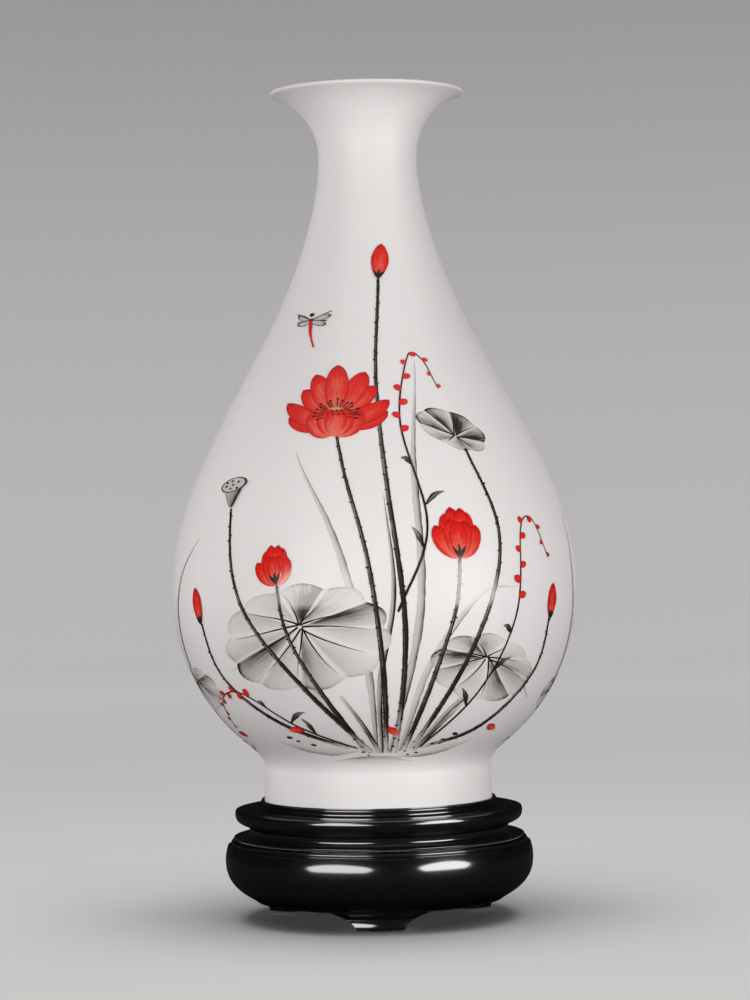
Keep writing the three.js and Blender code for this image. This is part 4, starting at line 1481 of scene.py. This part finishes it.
def waist_outline(size):
    """The waist ring: a flat band behind the row of pearls, a ledge and a hollow wall."""
    low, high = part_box("waist_ring")
    band = high.x - 1.95 * size.pearl_radius
    band_top = pearl_level(size) + size.pearl_radius + 0.1 * MM
    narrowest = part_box("seat_board")[1].x - size.waist_inset
    wall_foot = (narrowest + 0.7 * MM, band_top + 0.75 * MM)
    waist = (narrowest, high.z - size.waist_fall)
    brim = (narrowest + 0.3 * MM, high.z)
    rebate = size.bore_radius + size.spigot_width + PLAY
    inner = (size.bore_radius, low.z + size.spigot_height)
    return [
        (rebate, low.z), (band, low.z), (band, band_top),
        *bend((band - 0.1 * MM, band_top), math.radians(178), 0.5, wall_foot, math.radians(110), 0.13),
        *bend(wall_foot, math.radians(110), 0.35, waist, UPRIGHT, 0.35, SHORT_CURVE_STEPS)[1:],
        *bend(waist, UPRIGHT, 0.4, brim, math.radians(77), 0.4, SHORT_CURVE_STEPS)[1:],
        (size.bore_radius, high.z), inner, (rebate, inner[1]),
    ]


def pearl_level(size):
    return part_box("waist_ring")[0].z + size.pearl_radius + 0.22 * MM


def belly_outline(size):
    low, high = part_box("belly_ring")
    top = high.z - size.spigot_height + PLAY
    widest = (high.x, low.z + size.belly_drop)
    underside = high.x - size.belly_undercut
    ridge = high.x - size.ridge_inset
    ridge_foot = top - size.ridge_height
    spigot = size.bore_radius + size.spigot_width
    quirk = size.quirk
    groove = ridge - quirk
    ledge = (ridge + size.ridge_ledge, ridge_foot - quirk)
    return [
        (size.bore_radius, low.z), (underside, low.z),
        *bend((underside, low.z + quirk), math.radians(28), 0.4, widest, UPRIGHT, 0.42, 2 * CURVE_STEPS),
        *bend(widest, UPRIGHT, 0.5, ledge, math.radians(105), 0.3)[1:],
        (groove, ridge_foot),
        *bend((groove, ridge_foot + quirk / 2), LEVEL, 0.34, (groove, top), BACK, 0.34),
        (spigot, top), (spigot, high.z), (size.bore_radius, high.z),
    ]


def hole(size, bottom, head, top):
    """Half outline of a hole for a countersunk screw that comes from below."""
    neck = head + size.head_height + PLAY
    return [
        (0, bottom), (size.head_hole_radius, bottom), (size.head_hole_radius, head + PLAY),
        (size.hole_radius, neck), (size.hole_radius, top), (0, top),
    ]


def plain_hole(size, bottom, top):
    return [(0, bottom), (size.hole_radius, bottom), (size.hole_radius, top), (0, top)]


def screw_ring(name):
    """The distance of a group of screws from the axis, and the heights of their heads and tips."""
    low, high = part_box(name)
    middle = (low + high) / 2
    return math.hypot(middle.x, middle.y), low.z, high.z


class PAINTEDVASE_OT_seat_board(Operator):
    """Turns the seat board with its beaded rim"""

    bl_idname = "painted_vase.seat_board"
    bl_label = "Seat board"

    def execute(self, context):
        own = settings()
        circle, _, tip = screw_ring("top_screw_back")
        mesh = mesh_of(spun(softened(board_outline(own.stand), own.stand.edge)), "seat_board_turned")
        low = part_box("seat_board")[0].z
        shank = plain_hole(own.stand, low - OVERCUT, tip + PLAY)
        mesh = drilled(mesh, hole_ring(shank, circle, len(FEET)))
        add_piece(mesh, lacquer(own.finish), "stand", "lacquered_wood", "seat_board")
        return {"FINISHED"}


class PAINTEDVASE_OT_waist_ring(Operator):
    """Turns the waist ring and sets its row of pearls"""

    bl_idname = "painted_vase.waist_ring"
    bl_label = "Waist ring"

    def execute(self, context):
        own = settings()
        size = own.stand
        low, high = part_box("waist_ring")
        circle, _, _ = screw_ring("top_screw_back")
        outline = softened(waist_outline(size), size.edge * 0.4)
        shank = plain_hole(size, low.z - OVERCUT, high.z + OVERCUT)
        mesh = mesh_of(spun(outline, closed=True), "waist_ring_turned")
        mesh = drilled(mesh, hole_ring(shank, circle, len(FEET)))
        add_piece(mesh, lacquer(own.finish), "stand", "lacquered_wood", "waist_ring")
        self.pearls(own)
        return {"FINISHED"}

    def pearls(self, own):
        size = own.stand
        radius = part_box("waist_ring")[1].x - size.pearl_radius
        count = round(FULL_TURN * radius / size.pearl_pitch)
        pearl = bmesh.new()
        place = Matrix.Translation((0, 0, pearl_level(size)))
        bmesh.ops.create_uvsphere(pearl, u_segments=8, v_segments=5, radius=size.pearl_radius, matrix=place)
        pearls = mesh_of(ringed(pearl, radius, count), "waist_pearls", 80)
        add_piece(pearls, lacquer(own.finish), "stand", "lacquered_wood")


class PAINTEDVASE_OT_belly_ring(Operator):
    """Turns the swelling belly ring with the ridge on its top"""

    bl_idname = "painted_vase.belly_ring"
    bl_label = "Belly ring"

    def execute(self, context):
        own = settings()
        size = own.stand
        low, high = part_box("belly_ring")
        mesh = mesh_of(spun(softened(belly_outline(size), size.edge), closed=True), "belly_ring_turned")
        foot_circle, _, tip = screw_ring("foot_screw_front")
        top_circle, head, _ = screw_ring("top_screw_back")
        shank = plain_hole(size, low.z - OVERCUT, tip + PLAY)
        mesh = drilled(mesh, hole_ring(shank, foot_circle, len(FEET), math.pi))
        through = hole(size, low.z - OVERCUT, head, high.z + OVERCUT)
        mesh = drilled(mesh, hole_ring(through, top_circle, len(FEET)))
        add_piece(mesh, lacquer(own.finish), "stand", "lacquered_wood", "belly_ring")
        return {"FINISHED"}


class PAINTEDVASE_OT_feet(Operator):
    """Shapes the three feet with their rounded toes"""

    bl_idname = "painted_vase.feet"
    bl_label = "Feet"

    def execute(self, context):
        own = settings()
        for copy, side in enumerate(FEET):
            turn = Matrix.Rotation(copy * FULL_TURN / len(FEET), 4, "Z")
            bm = self.foot(own.stand)
            bmesh.ops.transform(bm, matrix=turn, verts=bm.verts)
            mesh = mesh_of(bm, f"foot_{side}_carved")
            circle, head, _ = screw_ring(f"foot_screw_{side}")
            low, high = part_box(f"foot_{side}")
            through = hole(own.stand, low.z - OVERCUT, head, high.z + OVERCUT)
            cutter = hole_ring(through, circle, 1, math.pi)
            bmesh.ops.transform(cutter, matrix=turn, verts=cutter.verts)
            mesh = drilled(mesh, cutter)
            piece = add_piece(mesh, lacquer(own.finish), "stand", "lacquered_wood", f"foot_{side}")
            soft = piece.modifiers.new("Edges", "BEVEL")
            soft.width = own.stand.edge
            soft.segments = 2
            soft.limit_method = "ANGLE"
            soft.angle_limit = math.radians(50)
            soft.harden_normals = True
        return {"FINISHED"}

    def foot(self, size):
        """A block warped into the front foot: across its width, from heel to toe, and up."""
        across, deep, up = 28, 10, 26
        bm = bmesh.new()
        bmesh.ops.create_grid(bm, x_segments=across, y_segments=deep, size=1)
        made = bmesh.ops.extrude_face_region(bm, geom=bm.faces[:])["geom"]
        lifted = [item for item in made if isinstance(item, bmesh.types.BMVert)]
        bmesh.ops.translate(bm, verts=lifted, vec=(0, 0, up))
        walls = [edge for edge in bm.edges if edge.verts[0].co.z != edge.verts[1].co.z]
        bmesh.ops.subdivide_edges(bm, edges=walls, cuts=up - 1, use_grid_fill=True)
        low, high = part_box("foot_front")
        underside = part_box("belly_ring")[1].x - size.belly_undercut
        heel = underside - size.heel_inset
        front = self.front(size, low.z, high.z, underside, up)
        for vert in bm.verts:
            radius, height = front[round(vert.co.z)]
            part = (height - low.z) / (high.z - low.z)
            half = (size.toe_width + (size.foot_top_width - size.toe_width) * part ** size.flank_curve) / 2
            reach = heel + (radius - heel) * (vert.co.y + 1) / 2
            turn = math.asin(half / reach) * vert.co.x
            vert.co = Vector((reach * math.sin(turn), -reach * math.cos(turn), height))
        bmesh.ops.recalc_face_normals(bm, faces=bm.faces)
        return bm

    def front(self, size, bottom, top, underside, up):
        """The foot's profile from under the toe up, as radius and height."""
        toe = underside - size.toe_inset
        edge = size.toe_edge
        face = (toe, bottom + edge)
        brow = (toe - size.toe_swell, bottom + size.toe_height)
        rounded, swelled = up // 6, up // 3
        rest = up - rounded - swelled
        return [
            *bend((toe - edge, bottom), LEVEL, 0.55, face, UPRIGHT, 0.55, rounded),
            *bend(face, UPRIGHT, 0.4, brow, math.radians(118), 0.25, swelled)[1:],
            *bend(brow, math.radians(78), 0.4, (underside, top), math.radians(35), 0.3, rest)[1:],
        ]


class PAINTEDVASE_OT_felts(Operator):
    """Cuts the felt disc under the vase and the felt pads under the feet"""

    bl_idname = "painted_vase.felts"
    bl_label = "Felts"

    def execute(self, context):
        look = settings().finish
        self.disc("seat_felt", "seat_disc", look, ["seat_board_turned"])
        for side in FEET:
            self.disc(f"foot_felt_{side}", "stand", look, [f"foot_{side}_carved"])
        return {"FINISHED"}

    def disc(self, node, body, look, under):
        """A disc with a slightly rounded, uneven edge."""
        low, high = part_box(node)
        middle = (low + high) / 2
        radius, thickness = (high.x - low.x) / 2, high.z - low.z
        edge = thickness * 0.3
        outline = [
            (0, low.z), *arc((radius - edge, low.z + edge), edge, DOWN, LEVEL, CORNER_STEPS),
            *arc((radius - edge, high.z - edge), edge, LEVEL, UPRIGHT, CORNER_STEPS), (0, high.z),
        ]
        bm = spun(outline, MIDDLE_ROUND_STEPS)
        for vert in bm.verts:
            out = Vector((vert.co.x, vert.co.y, 0))
            if out.length > radius * 0.9:
                vert.co -= out.normalized() * 0.12 * MM * (1 + noise.noise(vert.co * 900))
        bmesh.ops.translate(bm, verts=bm.verts, vec=(middle.x, middle.y, 0))
        piece = add_piece(mesh_of(bm, node + "_cut", 60), felt(look), body, "felt", node)


class PAINTEDVASE_OT_screws(Operator):
    """Gives the six wood screws their plated steel"""

    bl_idname = "painted_vase.screws"
    bl_label = "Screws"

    def execute(self, context):
        screws = [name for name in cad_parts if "screw" in name]
        if len(screws) != 2 * len(FEET):
            raise RuntimeError("the frame has to hold two screws for each foot")
        for name in screws:
            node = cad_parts[name]
            node.data.materials.clear()
            node.data.materials.append(steel(settings().finish))
        return {"FINISHED"}


class PAINTEDVASE_PT_panel(Panel):
    """Lists the steps that make the painted vase"""

    bl_idname = "PAINTEDVASE_PT_panel"
    bl_label = "Painted Vase"
    bl_space_type = "VIEW_3D"
    bl_region_type = "UI"
    bl_category = "Vase"

    def draw(self, context):
        for maker in OPERATORS:
            self.layout.operator(maker.bl_idname)


OPERATORS = (
    PAINTEDVASE_OT_stage,
    PAINTEDVASE_OT_vase,
    PAINTEDVASE_OT_washes,
    PAINTEDVASE_OT_stems,
    PAINTEDVASE_OT_blossoms,
    PAINTEDVASE_OT_details,
    PAINTEDVASE_OT_seat_board,
    PAINTEDVASE_OT_waist_ring,
    PAINTEDVASE_OT_belly_ring,
    PAINTEDVASE_OT_feet,
    PAINTEDVASE_OT_felts,
    PAINTEDVASE_OT_screws,
)
GROUPS = (VaseSizes, StandSizes, PaintingSizes, Finishes, StageSizes, PaintedVase)


def register():
    for item in (*GROUPS, *OPERATORS, PAINTEDVASE_PT_panel):
        bpy.utils.register_class(item)
    bpy.types.Scene.painted_vase = PointerProperty(type=PaintedVase)


def unregister():
    del bpy.types.Scene.painted_vase
    for item in reversed((*GROUPS, *OPERATORS, PAINTEDVASE_PT_panel)):
        bpy.utils.unregister_class(item)


def main():
    register()
    for maker in OPERATORS:
        step = maker.bl_idname.removeprefix("painted_vase.")
        getattr(bpy.ops.painted_vase, step)()


if __name__ == "__main__":
    main()
